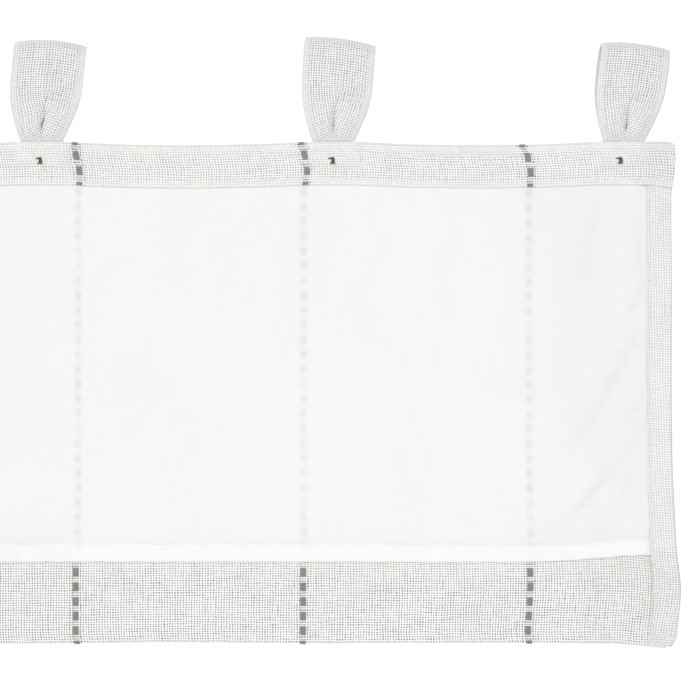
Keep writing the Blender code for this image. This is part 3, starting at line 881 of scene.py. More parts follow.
def woven_layer():
    """A plain weave on the flat cloth, in metres: how high its surface is, where a yarn covers it, where a
    weft does, the yarn's own tone and a number drawn for each gap. Each yarn has its own thickness, thick
    and thin places and small wanderings."""
    tree = bpy.data.node_groups.new("plain weave", "ShaderNodeTree")
    tree.interface.new_socket("Flat place", in_out="INPUT", socket_type="NodeSocketVector")
    tree.interface.new_socket("Yarn half width", in_out="INPUT", socket_type="NodeSocketFloat")
    for output in ("Height", "Cover", "Weft", "Yarn tone", "Chance"):
        tree.interface.new_socket(output, in_out="OUTPUT", socket_type="NodeSocketFloat")
    place, share = add(tree, "NodeGroupInput").outputs[:2]
    wander = add(tree, NOISE, {"Vector": place, "Scale": WANDER, "Detail": 2.0}, noise_dimensions="2D")
    wander = add(tree, SPLIT_COLOUR, [wander.outputs["Color"]])
    parts = add(tree, SPLIT, [place])
    counts = []
    for part, pitch in ((0, WARP_PITCH), (1, WEFT_PITCH)):
        count = add(tree, MATH, [parts.outputs[part], pitch], operation="DIVIDE")
        moved = [wander.outputs[part], YARN_WANDERS, count]
        counts.append(add(tree, MATH, moved, operation="MULTIPLY_ADD"))
    found = []
    for own, other, sign, seed in ((0, 1, 0.5, 17.13), (1, 0, -0.5, 11.37)):
        number = add(tree, MATH, [counts[own]], operation="ROUND")
        lot = add(tree, MATH, [number, seed], operation="MULTIPLY")
        slow = add(tree, MATH, [counts[other], YARN_CHANGES], operation="MULTIPLY")
        lot = add(tree, JOIN, [lot, slow])
        drawn = add(tree, NOISE, {"Vector": lot, "Scale": 1.0, "Detail": 1.0}, noise_dimensions="2D")
        aside, size, tone = add(tree, SPLIT_COLOUR, [drawn.outputs["Color"]]).outputs
        aside = add(tree, MATH, [aside, 2 * YARN_ASIDE, -YARN_ASIDE], operation="MULTIPLY_ADD")
        off = add(tree, MATH, [counts[own], number], operation="SUBTRACT")
        off = add(tree, MATH, [off, aside], operation="SUBTRACT")
        off = add(tree, MATH, [off], operation="ABSOLUTE")
        thick = add(tree, RANGE, [size, *YARN_SPREAD, YARN_THIN, YARN_THICK])
        half = add(tree, MATH, [share, thick], operation="MULTIPLY")
        near = add(tree, MATH, [off, half], operation="DIVIDE")
        near = add(tree, MATH, [near, near], operation="MULTIPLY")
        round_top = add(tree, MATH, [near, -1.0, 1.0], operation="MULTIPLY_ADD")
        cover = add(tree, RANGE, [round_top, 0.0, YARN_COVERS_FROM, 0.0, 1.0])
        crown = add(tree, MATH, [round_top, 0.0], operation="MAXIMUM")
        crown = add(tree, MATH, [crown], operation="SQRT")
        crossing = add(tree, MATH, [counts[other], number], operation="ADD")
        crossing = add(tree, MATH, [crossing, math.pi], operation="MULTIPLY")
        over = add(tree, MATH, [crossing], operation="COSINE")
        over = add(tree, MATH, [over, sign, 0.5], operation="MULTIPLY_ADD")
        over = add(tree, MATH, [over, 1 - YARN_ROUNDNESS], operation="MULTIPLY")
        top = add(tree, MATH, [crown, YARN_ROUNDNESS, over], operation="MULTIPLY_ADD")
        found.append((add(tree, MATH, [top, cover], operation="MULTIPLY"), cover, tone))
    (warp, warp_cover, warp_tone), (weft, weft_cover, weft_tone) = found
    weft_over = add(tree, MATH, [weft, warp], operation="GREATER_THAN")
    gap_number = [add(tree, MATH, [count], operation="FLOOR") for count in counts]
    add(tree, "NodeGroupOutput", [
        add(tree, MATH, [warp, weft], operation="MAXIMUM"),
        add(tree, MATH, [warp_cover, weft_cover], operation="MAXIMUM"),
        weft_cover,
        add(tree, MIX, [weft_over, warp_tone, weft_tone]),
        add(tree, "ShaderNodeTexWhiteNoise", [add(tree, JOIN, gap_number)], noise_dimensions="2D"),
    ])
    return tree


PLAIN_WEAVE = woven_layer()

# Tones of the coarse cotton: yarn and dash are its own colours. low is painted shade on the yarns' low parts,
# gap the painted shadow in an open gap, behind and lining the layer behind and the lining seen in painted
# shade through a gap, doubled a closed gap in painted shade, and slit the painted shade that the shade mark
# darkens towards.
CottonTones = namedtuple("CottonTones", "yarn low gap behind lining doubled dash slit")
COARSE_TONES = CottonTones(
    yarn="F9F8F6", low="C9C8C6", gap="201E1C", behind="969593",
    lining="CDCCCA", doubled="DDDCDA", dash="A3A19E", slit="66625B",
)
COARSE_RELIEF = 0.00035
COARSE_SHEEN = 0.60
EDGE_SHADE = 0.100
TAB_TONE = 0.955
TAB_EDGE_SHADE = 0.135
YARN_HALF = 0.330
YARN_HALF_LESS = 0.030
DASH_EDGE = 0.0001
BESIDE_DASH = 0.0016
BESIDE_OVER = 0.0012

# How the layer behind lies, moved, turned and stretched beside the layer in front.
BEHIND_MOVED = (0.0007, 0.0004, 0.0)
BEHIND_TURNED = (0.0, 0.0, math.radians(3.0))
BEHIND_STRETCHED = (1.03, 0.87, 1.0)

# How far the layer behind fills a gap of the weave, by how close it lies, by its own yarns and by chance,
# from what height a yarn is painted lit rather than in painted shade, how tones vary, how much painted
# shade the backed mark and the shade mark add, the fuzz's own relief, and which gaps beside a stripe are
# painted darker as shadow, and by how much.
LOOSE_FILLS = (-0.78, -0.10)
BEHIND_FILLS = 0.80
CHANCE_FILLS = 0.44
LIT_HEIGHTS = (0.48, 0.97)
YARN_TONES = (0.965, 1.035)
PATCHY_TONES = (0.985, 1.015)
BACKED_SHADE = 0.020
DEEP_SHADE = 0.8
FUZZ_RELIEF = 0.16
DARK_GAP_CHANCES = (0.40, 0.65)
DARK_GAP_SHADE = 0.95


def matt_cotton(tree, colour, height, distance, sheen):
    """The surface that all the cottons share: rough, soft to the eye and without gloss."""
    bump = add(tree, "ShaderNodeBump", {"Strength": 0.55, "Distance": distance, "Height": height})
    surface = tree.nodes["Principled BSDF"]
    surface.inputs["Roughness"].default_value = 0.92
    surface.inputs["Specular IOR Level"].default_value = 0.25
    surface.inputs["Sheen Weight"].default_value = sheen
    surface.inputs["Sheen Roughness"].default_value = 0.5
    tree.links.new(in_use(colour.outputs)[0], surface.inputs["Base Color"])
    tree.links.new(bump.outputs["Normal"], surface.inputs["Normal"])


def new_material(name):
    made = bpy.data.materials.new(name)
    made.use_nodes = True
    return made, made.node_tree


def varied(tree, place, repeats, detail, values):
    """A soft change over the flat cloth between two values, which repeats that often in a metre."""
    noise = add(tree, NOISE, {"Vector": place, "Scale": repeats, "Detail": detail}, noise_dimensions="2D")
    return add(tree, RANGE, [noise, *NOISE_SPREAD, *values])


def from_nearest(tree, value, first, pitch):
    """How far a place is from the nearest of a row of lines."""
    off = add(tree, MATH, [value, first], operation="SUBTRACT")
    off = add(tree, MATH, [off, pitch / 2, -pitch / 2], operation="WRAP")
    return add(tree, MATH, [off], operation="ABSOLUTE")


def coarse_cotton(name, striped, tone=1.0, edge_shade=EDGE_SHADE):
    """Coarse open-weave cotton, slubby and off-white: 1.8 mm warps and 1.6 mm wefts. Its gaps are painted
    grey as the shadow in them, and show a painted copy of the layer behind, which makes a shifting pattern
    with it. The yarns' low parts and the turned-in edges are painted darker as shade, the cloth a little
    darker where a layer backs it, and the mark of painted shade darkens it, and lightens it as painted light
    where it is below 0. Its fuzz lightens it where it turns away from the eye. A striped one has bundles of
    dark thread in place of warps, which show as thin lines where they pass under wefts, and single gaps
    beside them painted darker as shadow."""
    made, tree = new_material(name)
    place = add(tree, "ShaderNodeUVMap", uv_map="flat cloth").outputs[0]
    marks = {m: add(tree, "ShaderNodeAttribute", attribute_name=m).outputs["Fac"] for m in MARKS}
    tones = {part: linear(code) for part, code in COARSE_TONES._asdict().items()}
    yarn_half = YARN_HALF
    if striped:
        parts = add(tree, SPLIT, [place])
        from_stripe = from_nearest(tree, parts.outputs[0], STRIPE_FIRST, STRIPE_PITCH)
        edge = DASH_WIDTH / 2
        inside = add(tree, RANGE, [from_stripe, edge + DASH_EDGE, edge - DASH_EDGE, 0.0, 1.0])
        edge = edge + BESIDE_DASH
        beside = add(tree, RANGE, [from_stripe, edge + BESIDE_OVER, edge, 0.0, 1.0])
        yarn_half = add(tree, MATH, [beside, -YARN_HALF_LESS, YARN_HALF], operation="MULTIPLY_ADD")
    top = add(tree, "ShaderNodeGroup", [place, yarn_half], node_tree=PLAIN_WEAVE)
    height, cover, weft, own, chance = top.outputs
    moved = add(tree, "ShaderNodeMapping", [place, BEHIND_MOVED, BEHIND_TURNED, BEHIND_STRETCHED])
    under = add(tree, "ShaderNodeGroup", [moved, YARN_HALF], node_tree=PLAIN_WEAVE)

    loose = varied(tree, place, LOOSE, 2.0, LOOSE_FILLS)
    filled = add(tree, MATH, [under.outputs["Cover"], BEHIND_FILLS, loose], operation="MULTIPLY_ADD")
    filled = add(tree, MATH, [chance, CHANCE_FILLS, filled], operation="MULTIPLY_ADD", use_clamp=True)
    # The gaps are painted: dark as the shadow in them, mid grey where the layer behind shows through in
    # shade, lighter grey where the lining or a turned-in layer backs them.
    gap = add(tree, MIX, [filled, tones["gap"], tones["behind"]], data_type="RGBA")
    gap = add(tree, MIX, [marks["backed"], gap, tones["lining"]], data_type="RGBA")
    gap = add(tree, MIX, [marks["turned_in"], gap, tones["doubled"]], data_type="RGBA")
    # The yarns' low parts are painted in shade with the low tone; turned-in edges are painted lit all over.
    lit = add(tree, RANGE, [height, *LIT_HEIGHTS, 0.0, 1.0])
    lit = add(tree, MATH, [lit, marks["turned_in"]], operation="MAXIMUM")
    yarn = add(tree, MIX, [lit, tones["low"], tones["yarn"]], data_type="RGBA")
    patchy = varied(tree, place, PATCHY, 3.0, PATCHY_TONES)
    bright = add(tree, RANGE, [own, *YARN_SPREAD, YARN_TONES[0] * tone, YARN_TONES[1] * tone])
    bright = add(tree, MATH, [bright, patchy], operation="MULTIPLY")
    # Painted shade: turned-in edges darker by the edge shade, and backed cloth a little darker.
    bright = add(tree, MATH, [marks["turned_in"], -edge_shade, bright], operation="MULTIPLY_ADD")
    bright = add(tree, MATH, [marks["backed"], -BACKED_SHADE, bright], operation="MULTIPLY_ADD")
    cloth_cover = cover
    if striped:
        # Single gaps beside a stripe are painted darker as shadow.
        dark = add(tree, RANGE, [chance, *DARK_GAP_CHANCES, 0.0, DARK_GAP_SHADE])
        dark = add(tree, MATH, [beside, dark], operation="MULTIPLY")
        gap = add(tree, MIX, [dark, gap, tones["gap"]], data_type="RGBA")
        gap = add(tree, MIX, [inside, gap, tones["dash"]], data_type="RGBA")
        cloth_cover = add(tree, MIX, [inside, cover, weft])
    colour = add(tree, MIX, [cloth_cover, gap, yarn], data_type="RGBA")
    colour = add(tree, VECTOR_MATH, [colour, bright], operation="MULTIPLY")
    # The mark of painted shade darkens the colour towards the slit's painted shade, and lightens it as
    # painted light where it is below 0.
    deep = add(tree, MATH, [marks["deep"], DEEP_SHADE], operation="MULTIPLY")
    colour = add(tree, MIX, [deep, colour, tones["slit"]], data_type="RGBA", clamp_factor=False)
    fuzz = add(tree, NOISE, {"Vector": place, "Scale": FUZZ, "Detail": 2.0}, noise_dimensions="2D")
    relief = add(tree, MATH, [fuzz, FUZZ_RELIEF, height], operation="MULTIPLY_ADD")
    matt_cotton(tree, colour, relief, COARSE_RELIEF, COARSE_SHEEN)
    return made


# The dashes show through the lining as spots: where the first lies, how far apart they are and how far
# each reaches from its middle, across and along the stripes.
Spots = namedtuple("Spots", "part first pitch half")
SHOW_THROUGH = (
    Spots(0, STRIPE_FIRST + 0.0008, STRIPE_PITCH, 0.0040),
    Spots(1, 0.0032, 0.00993, 0.0042),
)

# How often the lining's streaks repeat in a metre, across and down it, how often its tone changes and how
# often the face cloth behind touches it. Its threads, finer than a pixel, are drawn 0.5 mm apart.
STREAKS = ((60.0, 1500.0, 1.0), (1500.0, 45.0, 1.0))
SOFT = 14.0
TOUCHING = 38.0
FINE_THREADS = 1900.0
LINING_RELIEF = 0.00006
THREADS_RELIEF = 0.6
LINING_SHEEN = 0.08

# How light the streaks and the soft changes of tone are, how firmly the face cloth touches the lining, and
# how much darker it is over a stripe, over each of its dashes and in shade. Its hem hides most of this.
STREAK_TONES = (0.976, 1.012)
SOFT_TONES = (0.992, 1.006)
TOUCHES = (0.65, 1.35)
STRIPE_SHOWS = 0.028
DASH_SHOWS = 0.075
HEM_HIDES = 0.8
LINING_SHADE = 0.035


def lining_cotton():
    """White plain cotton of fine even threads, too fine to see one by one, so it looks smooth with faint
    streaks along and across. It is whiter where its hem doubles it, and the face cloth's dark dashes show
    through it as faint soft spots. Shade is painted on it along its hem's seam and near the side hems."""
    made, tree = new_material("white plain cotton lining")
    place = add(tree, "ShaderNodeUVMap", uv_map="flat cloth").outputs[0]
    doubled = add(tree, "ShaderNodeAttribute", attribute_name="turned_in").outputs["Fac"]
    shade = add(tree, "ShaderNodeAttribute", attribute_name="deep").outputs["Fac"]
    streaks = []
    for stretch in STREAKS:
        along = add(tree, "ShaderNodeMapping", {"Vector": place, "Scale": stretch})
        thread = {"Vector": along, "Scale": 1.0, "Detail": 2.0}
        streaks.append(add(tree, NOISE, thread, noise_dimensions="2D"))
    streak = add(tree, MATH, streaks, operation="ADD")
    bright = add(tree, RANGE, [streak, *STREAK_SPREAD, *STREAK_TONES])
    soft = varied(tree, place, SOFT, 2.0, SOFT_TONES)
    bright = add(tree, MATH, [bright, soft], operation="MULTIPLY")
    parts = add(tree, SPLIT, [place])
    masks = []
    for spots in SHOW_THROUGH:
        off = from_nearest(tree, parts.outputs[spots.part], spots.first, spots.pitch)
        spread = [off, spots.half, spots.half * 0.1, 0.0, 1.0]
        masks.append(add(tree, RANGE, spread, interpolation_type="SMOOTHSTEP"))
    touching = varied(tree, place, TOUCHING, 1.0, TOUCHES)
    shown = add(tree, MATH, [masks[1], DASH_SHOWS, STRIPE_SHOWS], operation="MULTIPLY_ADD")
    single = add(tree, MATH, [doubled, -HEM_HIDES, 1.0], operation="MULTIPLY_ADD")
    for part in (touching, single, masks[0]):
        shown = add(tree, MATH, [shown, part], operation="MULTIPLY")
    dark = add(tree, MATH, [shade, LINING_SHADE, shown], operation="MULTIPLY_ADD")
    bright = add(tree, MATH, [bright, dark], operation="SUBTRACT")
    colour = add(tree, MIX, [doubled, linear("E8E8E8"), linear("ECECEC")], data_type="RGBA")
    colour = add(tree, VECTOR_MATH, [colour, bright], operation="MULTIPLY")
    threads = add(tree, NOISE, {"Vector": place, "Scale": FINE_THREADS, "Detail": 1.0}, noise_dimensions="2D")
    relief = add(tree, MATH, [threads, THREADS_RELIEF, streak], operation="MULTIPLY_ADD")
    matt_cotton(tree, colour, relief, LINING_RELIEF, LINING_SHEEN)
    return made


PLY_WANDERS = 420.0
PLY_WANDERS_BY = 3.5
PLY_RELIEF = 0.00015
PLY_SHEEN = 0.10


def twisted_thread(name, light, dark, pitch):
    """Twisted thread with slanting plies, which give it fine oblique light and dark lines, the dark ones
    painted shade in the grooves between the plies.
    """
    made, tree = new_material(name)
    place = add(tree, "ShaderNodeTexCoord").outputs["Object"]
    parts = add(tree, SPLIT, [place])
    slant = add(tree, MATH, [parts.outputs[0], parts.outputs[2]], operation="ADD")
    wander = add(tree, NOISE, {"Vector": place, "Scale": PLY_WANDERS, "Detail": 2.0})
    turns = add(tree, MATH, [slant, math.tau / pitch / math.sqrt(2)], operation="MULTIPLY")
    turns = add(tree, MATH, [wander, PLY_WANDERS_BY, turns], operation="MULTIPLY_ADD")
    ply = add(tree, MATH, [turns], operation="SINE")
    ply = add(tree, MATH, [ply, 0.5, 0.5], operation="MULTIPLY_ADD")
    colour = add(tree, MIX, [ply, linear(dark), linear(light)], data_type="RGBA")
    matt_cotton(tree, colour, ply, PLY_RELIEF, PLY_SHEEN)
    return made


def pale_floor():
    """A matt pale floor with a faint unevenness of tone."""
    made, tree = new_material("matt pale floor")
    place = add(tree, "ShaderNodeTexCoord").outputs["Object"]
    tone = add(tree, NOISE, {"Vector": place, "Scale": 1.5, "Detail": 3.0})
    colour = add(tree, MIX, [tone, linear("EDEDEC"), linear("F3F3F2")], data_type="RGBA")
    matt_cotton(tree, colour, tone, 0.001, 0.0)
    return made


# ------------------------------------------------------------------------------------- threads on cloth

# The threads of a dash, of a tack and of a seam: how long and thick they are, how high their middle stands
# and by what share their sizes differ.
Threads = namedtuple("Threads", "length thickness arch unevenness")
DASH = Threads(DASH_LENGTH, 1.15 * DASH_WIDTH / DASH_THREADS, 0.00025, 0.04)
TACK = Threads(DASH_LENGTH, 0.00085, 0.00030, 0.04)
STITCH = Threads(0.0026, 0.00020, 0.00006, 0.08)


def threads_on_cloth():
    """Geometry Nodes: on each point an arched thread, along the point's own direction and standing on its
    cloth."""
    tree = bpy.data.node_groups.new("threads on cloth", "GeometryNodeTree")
    tree.interface.new_socket("Places", in_out="INPUT", socket_type="NodeSocketGeometry")
    for size in ("Length", "Thickness", "Arch", "Unevenness"):
        tree.interface.new_socket(size, in_out="INPUT", socket_type="NodeSocketFloat")
    tree.interface.new_socket("Finish", in_out="INPUT", socket_type="NodeSocketMaterial")
    tree.interface.new_socket("Threads", in_out="OUTPUT", socket_type="NodeSocketGeometry")
    places, length, thickness, arch, uneven, finish = add(tree, "NodeGroupInput").outputs[:6]
    start = add(tree, JOIN, {"Y": add(tree, MATH, [length, -0.5], operation="MULTIPLY")})
    middle = add(tree, JOIN, {"Z": add(tree, MATH, [arch, 2.0], operation="MULTIPLY")})
    end = add(tree, JOIN, {"Y": add(tree, MATH, [length, 0.5], operation="MULTIPLY")})
    path = add(tree, "GeometryNodeCurveQuadraticBezier", [3, start, middle, end])
    radius = add(tree, MATH, [thickness, 0.5], operation="MULTIPLY")
    ring = add(tree, "GeometryNodeCurvePrimitiveCircle", {"Resolution": 4, "Radius": radius})
    thread = add(tree, "GeometryNodeCurveToMesh", {"Curve": path, "Profile Curve": ring, "Fill Caps": True})
    along, out, size = (
        add(tree, "GeometryNodeInputNamedAttribute", {"Name": name}, data_type="FLOAT_VECTOR")
        for name in ("along", "out", "size")
    )
    turned = add(tree, "FunctionNodeAxesToRotation", [out, along], primary_axis="Z", secondary_axis="Y")
    least = add(tree, MATH, [1.0, uneven], operation="SUBTRACT")
    most = add(tree, MATH, [1.0, uneven], operation="ADD")
    drawn = add(tree, "FunctionNodeRandomValue", {0: least, 1: most, "Seed": 7}, data_type="FLOAT")
    scale = add(tree, VECTOR_MATH, [size, drawn], operation="SCALE")
    placed = add(tree, "GeometryNodeInstanceOnPoints", {
        "Points": places, "Instance": thread, "Rotation": turned, "Scale": scale
    })
    real = add(tree, "GeometryNodeRealizeInstances", [placed])
    real = add(tree, "GeometryNodeSetShadeSmooth", {"Geometry": real})
    real = add(tree, "GeometryNodeSetMaterial", {"Geometry": real, "Material": finish})
    add(tree, "NodeGroupOutput", [real])
    return tree


THREADS_ON_CLOTH = threads_on_cloth()


def sewn(name, places, threads, finish):
    """A piece of threads from lists of (points, directions along, directions out, sizes)."""
    points, along, out, size = (np.concatenate(part) for part in zip(*places))
    mesh = bpy.data.meshes.new(name)
    mesh.from_pydata(points.tolist(), [], [])
    for label, values in (("along", along), ("out", out), ("size", size)):
        mesh.attributes.new(label, "FLOAT_VECTOR", "POINT").data.foreach_set("vector", values.ravel())
    piece = put(name, mesh)
    modifier = piece.modifiers.new("threads", "NODES")
    modifier.node_group = THREADS_ON_CLOTH
    given = dict(zip(("Length", "Thickness", "Arch", "Unevenness"), threads))
    given["Finish"] = finish
    for socket in THREADS_ON_CLOTH.interface.items_tree:
        if socket.in_out == "INPUT" and socket.name in given:
            modifier[socket.identifier] = given[socket.name]
    return collect(piece)


def unit(vectors):
    return vectors / np.linalg.norm(vectors, axis=-1, keepdims=True)


SMALL_STEP = 0.0005


def on_cloth(surface, across, down, size=(1.0, 1.0, 1.0), sideways=0.0):
    """Places on a cloth's surface, with the direction down the cloth, turned towards its width by an
    angle, and the direction out of it."""
    across, down = np.broadcast_arrays(np.asarray(across, float), np.asarray(down, float))
    across, down = across.ravel(), down.ravel()
    here = surface(across, down, 0.0)
    aside, ahead = SMALL_STEP * math.sin(sideways), SMALL_STEP * math.cos(sideways)
    along = surface(across + aside, down + ahead, 0.0) - here
    out = surface(across, down, SMALL_STEP) - here
    return here, unit(along), unit(out), np.broadcast_to(size, here.shape)


def room_side(across, down, lift):
    return hang(across, down, -(COARSE_CLOTH / 2 + lift))


def flap_side(across, rise, lift):
    return hang(across + flap_lean(across, rise), PANEL_DROP - rise, LAYER + COARSE_CLOTH / 2 + lift)


def heading_side(across, down, lift):
    at = across + heading_lean(across, down)
    return hang(at, down, heading_back(at, down) + COARSE_CLOTH / 2 + lift)


# Where each dark thread of each stripe lies across the cloth.
THREAD_STEPS = (np.arange(DASH_THREADS) - (DASH_THREADS - 1) / 2) * DASH_WIDTH / DASH_THREADS
STRIPES = (STRIPE_FIRST - STRIPE_PITCH * np.arange(STRIPE_COUNT)[:, None] + THREAD_STEPS).reshape(-1, 1)

# The short ends of the dashes that go round a fold or under a seam: how far from it their middles lie,
# and how wide, long and thick they are beside a whole dash. The room side's top has none so near.
ROOM_SIDE_TOP = 0.0060
ROOM_SIDE_END = 0.0028
ROOM_SIDE_END_SIZE = (1.0, 0.75, 1.0)
FLAP_END = 0.0009
FLAP_END_SIZE = (0.95, 0.40, 0.9)
HEADING_TOP_END = 0.0008
HEADING_TOP_END_SIZE = (0.95, 0.36, 0.8)
HEADING_FOOT_END = 0.0014
HEADING_FOOT_END_SIZE = (0.95, 0.42, 0.9)


def dashes_on_room_side():
    """Dashes down the whole room side, and the short ends of those that go round the hem's fold."""
    count = int((PANEL_DROP - ROOM_SIDE_TOP) / DASH_PITCH)
    whole = np.arange(1, count + 1) * DASH_PITCH - FLAP_DASH_START
    return [
        on_cloth(room_side, STRIPES, PANEL_DROP - whole[None, :]),
        on_cloth(room_side, STRIPES, PANEL_DROP - ROOM_SIDE_END, ROOM_SIDE_END_SIZE),
    ]


def dashes_on_flap():
    rises = np.arange(1, int(BOTTOM_HEM / DASH_PITCH) + 1) * DASH_PITCH + FLAP_DASH_START
    rises = rises[rises < BOTTOM_HEM - DASH_LENGTH / 2]
    return [
        on_cloth(flap_side, STRIPES, rises[None, :]),
        on_cloth(flap_side, STRIPES, FLAP_END, FLAP_END_SIZE),
    ]


def dashes_on_heading():
    whole = HEADING_DASH_START + HEADING_DASH_PITCH * np.arange(2)
    return [
        on_cloth(heading_side, STRIPES, whole[None, :]),
        on_cloth(heading_side, STRIPES, HEADING_TOP_END, HEADING_TOP_END_SIZE),
        on_cloth(heading_side, STRIPES, HEADING_DEPTH - HEADING_FOOT_END, HEADING_FOOT_END_SIZE),
    ]


# The tack at the foot of each tab: strands of brown thread, by their middle's place right of and below
# the tack's own, their length, and their angle from straight down towards the right.
Strand = namedtuple("Strand", "right below length angle")
TACK_STRANDS = (
    Strand(-0.0008, -0.0014, 0.0040, 86),
    Strand(-0.0002, -0.0019, 0.0026, 97),
    Strand(-0.0005, +0.0002, 0.0037, -6),
    Strand(+0.0002, +0.0000, 0.0044, 2),
    Strand(+0.0009, -0.0001, 0.0040, -5),
    Strand(-0.0013, +0.0016, 0.0018, -62),
)
TACK_DOWN = 0.0127
TACK_LEFT = (0.0008, 0.0005, 0.0022)
TACK_LIFT = 0.00012


def tack_places():
    places = []
    for index in range(TAB_COUNT):
        left = TACK_LEFT[(index - (TAB_COUNT - 3)) % 3]
        across = tab_centre(index) - left
        across = across - float(heading_lean(across, TACK_DOWN))
        for number, strand in enumerate(TACK_STRANDS):
            def over_others(across, down, lift, own=TACK_LIFT * number):
                return heading_side(across, down, lift + own)

            size = (1.0, strand.length / DASH_LENGTH, 1.0)
            at, down = across + strand.right, TACK_DOWN + strand.below
            places.append(on_cloth(over_others, at, down, size, math.radians(strand.angle)))
    return places


# How far apart the stitches are, and how far inside the edges of the cloth each seam starts and lies.
STITCH_PITCH = 0.0034
SEAM_ENDS = 0.0040
SIDE_SEAM = 0.0026
SIDE_SEAM_FROM = 0.0030
HEADING_SEAM = 0.0024
LINING_SEAM = 0.0004


def side_seam(side):
    inward = SIDE_HEM - SIDE_SEAM

    def surface(across, down, lift):
        back = side_hem_back(down) + COARSE_CLOTH / 2 + lift
        return hang(side * (side_fold(down) - inward) + across, down, back)

    return surface


def lining_hem_side(across, down, lift):
    level = lining_foot(across) - down
    return hang(across, level, lining_lies(across, level) + LINING_CLOTH / 2 + lift)


def seam_places():
    """Stitches along the heading's foot, down both side hems and along the lining's hem."""
    half = WIDTH / 2 - SEAM_ENDS
    along = np.arange(-half, half, STITCH_PITCH)
    inner = np.arange(-(half - SIDE_HEM), half - SIDE_HEM, STITCH_PITCH)
    down = np.arange(HEADING_DEPTH + SIDE_SEAM_FROM, PANEL_DROP - SEAM_ENDS, STITCH_PITCH)
    quarter = math.pi / 2
    return [
        on_cloth(heading_side, along, HEADING_DEPTH - HEADING_SEAM, sideways=quarter),
        on_cloth(side_seam(-1), 0.0, down),
        on_cloth(side_seam(1), 0.0, down),
        on_cloth(lining_hem_side, inner, lining_hem(inner) - LINING_SEAM, sideways=quarter),
    ]


# -------------------------------------------------------------------------------------- light and view

CAMERA_RIGHT = 0.6958
CAMERA_UP = -0.1972
CAMERA_AWAY = 2.0
SEEN_WIDTH = 0.4694
FLOOR_LEVEL = -1.6
ROOM_WHITE = 1.04
ROOM_LIGHT = 0.45

# Square soft lamps: where each stands, what it points at, its side, its watts and the spread of its light
# in degrees.
MIDDLE_SEEN = (CAMERA_RIGHT, 0.0, CAMERA_UP)
Lamp = namedtuple("Lamp", "name place target size power spread")
LAMPS = (
    Lamp("key lamp", (-2.4, -4.2, 4.0), MIDDLE_SEEN, 2.2, 176.0, 180),
    Lamp("front lamp", (0.72, -1.45, -0.34), MIDDLE_SEEN, 0.5, 7.0, 180),
    Lamp("right lamp", (3.6, -1.8, 0.2), MIDDLE_SEEN, 1.2, 11.0, 180),
    Lamp("left end lamp", (-0.95, -2.0, -0.2), (-0.95, 0.0, -0.2), 0.6, 0.8, 50),
    Lamp("room side lamp", (-1.2, 3.6, 1.8), (0.0, 0.0, -0.2), 1.6, 122.0, 180),
)


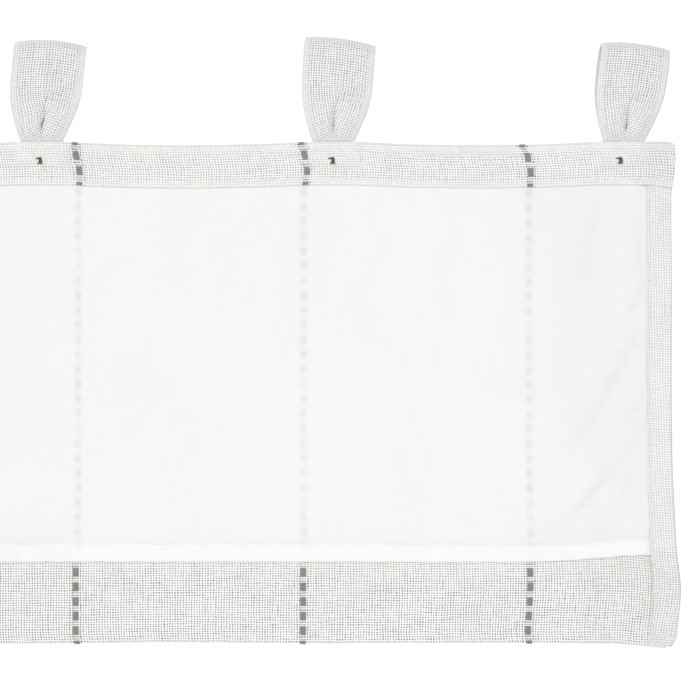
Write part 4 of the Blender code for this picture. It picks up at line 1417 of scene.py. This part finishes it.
def studio():
    """A white room that gives part of the light, soft lamps from above, from the front and on the room
    side, a pale floor and the photo's view."""
    world = bpy.data.worlds.new("white studio")
    world.use_nodes = True
    tree = world.node_tree
    seen = add(tree, "ShaderNodeLightPath").outputs["Is Camera Ray"]
    strength = add(tree, RANGE, [seen, 0.0, 1.0, ROOM_LIGHT, ROOM_WHITE])
    tree.nodes["Background"].inputs["Color"].default_value = (1.0, 1.0, 1.0, 1.0)
    tree.links.new(strength.outputs["Result"], tree.nodes["Background"].inputs["Strength"])
    bpy.context.scene.world = world
    bpy.context.scene.view_settings.view_transform = "Standard"
    for lamp in LAMPS:
        soft = bpy.data.lights.new(lamp.name, "AREA")
        soft.size = lamp.size
        soft.energy = lamp.power
        soft.spread = math.radians(lamp.spread)
        placed = put(lamp.name, soft)
        placed.location = lamp.place
        aim = Vector(np.subtract(lamp.target, lamp.place))
        placed.rotation_euler = aim.to_track_quat("-Z", "Y").to_euler()

    made = bmesh.new()
    bmesh.ops.create_grid(made, x_segments=8, y_segments=8, size=3.5)
    mesh = bpy.data.meshes.new("floor")
    made.to_mesh(mesh)
    made.free()
    mesh.transform(Matrix.Translation((0.0, 0.0, FLOOR_LEVEL)))
    mesh.materials.append(pale_floor())
    put("floor", mesh)

    lens = bpy.data.cameras.new("camera")
    lens.angle = 2 * math.atan(SEEN_WIDTH / 2 / CAMERA_AWAY)
    camera = put("camera", lens)
    camera.location = (CAMERA_RIGHT, -CAMERA_AWAY, CAMERA_UP)
    camera.rotation_euler = (math.pi / 2, 0.0, 0.0)
    bpy.context.scene.camera = camera


# ------------------------------------------------------------------------------------------- the piece


def dress():
    """Makes every piece, hangs it on the root body and hides the solid that it stands for."""
    face_cotton = coarse_cotton("coarse open-weave cotton", striped=True)
    tab_cotton = coarse_cotton(
        "coarse open-weave cotton, doubled", striped=False, tone=TAB_TONE, edge_shade=TAB_EDGE_SHADE
    )
    dash_thread = twisted_thread("dark grey twisted cotton", "ADACA9", "757472", 0.0013)
    tack_thread = twisted_thread("brown sewing thread", "82776D", "2C2622", 0.0010)
    seam_thread = twisted_thread("white sewing thread", "F4F3F1", "E6E5E2", 0.0006)

    panel = cloth("panel_cloth", panel_grids(), COARSE_CLOTH, face_cotton)
    lining = cloth("lining_cloth", lining_grids(), LINING_CLOTH, lining_cotton())
    heading = cloth("heading_cloth", heading_grids(), COARSE_CLOTH, face_cotton)
    room_dashes = sewn("room_side_dashes", dashes_on_room_side(), DASH, dash_thread)
    flap_dashes = sewn("bottom_hem_dashes", dashes_on_flap(), DASH, dash_thread)
    heading_dashes = sewn("heading_dashes", dashes_on_heading(), DASH, dash_thread)
    tacks = sewn("tab_tacks", tack_places(), TACK, tack_thread)
    seams = sewn("seam_stitches", seam_places(), STITCH, seam_thread)

    pieces = [
        (panel, "face_cloth", "face_panel"),
        (lining, "lining_cloth", "lining"),
        (heading, "heading_cloth", "heading"),
        (room_dashes, "face_cloth", None),
        (flap_dashes, "face_cloth", None),
        (heading_dashes, "heading_cloth", None),
        (tacks, "heading_cloth", None),
        (seams, "face_cloth", None),
    ]
    for index, tab in enumerate(TABS):
        number = f"{index + 1:02d}"
        strap = cloth(f"tab_cloth_{number}", tab_grids(index), DOUBLED_CLOTH, tab_cotton)
        pieces.append((strap, "tab_cloth", f"tab_{number}"))
    for piece, slot, node in pieces:
        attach(piece, "root")
        if node:
            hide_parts(node)


studio()
dress()
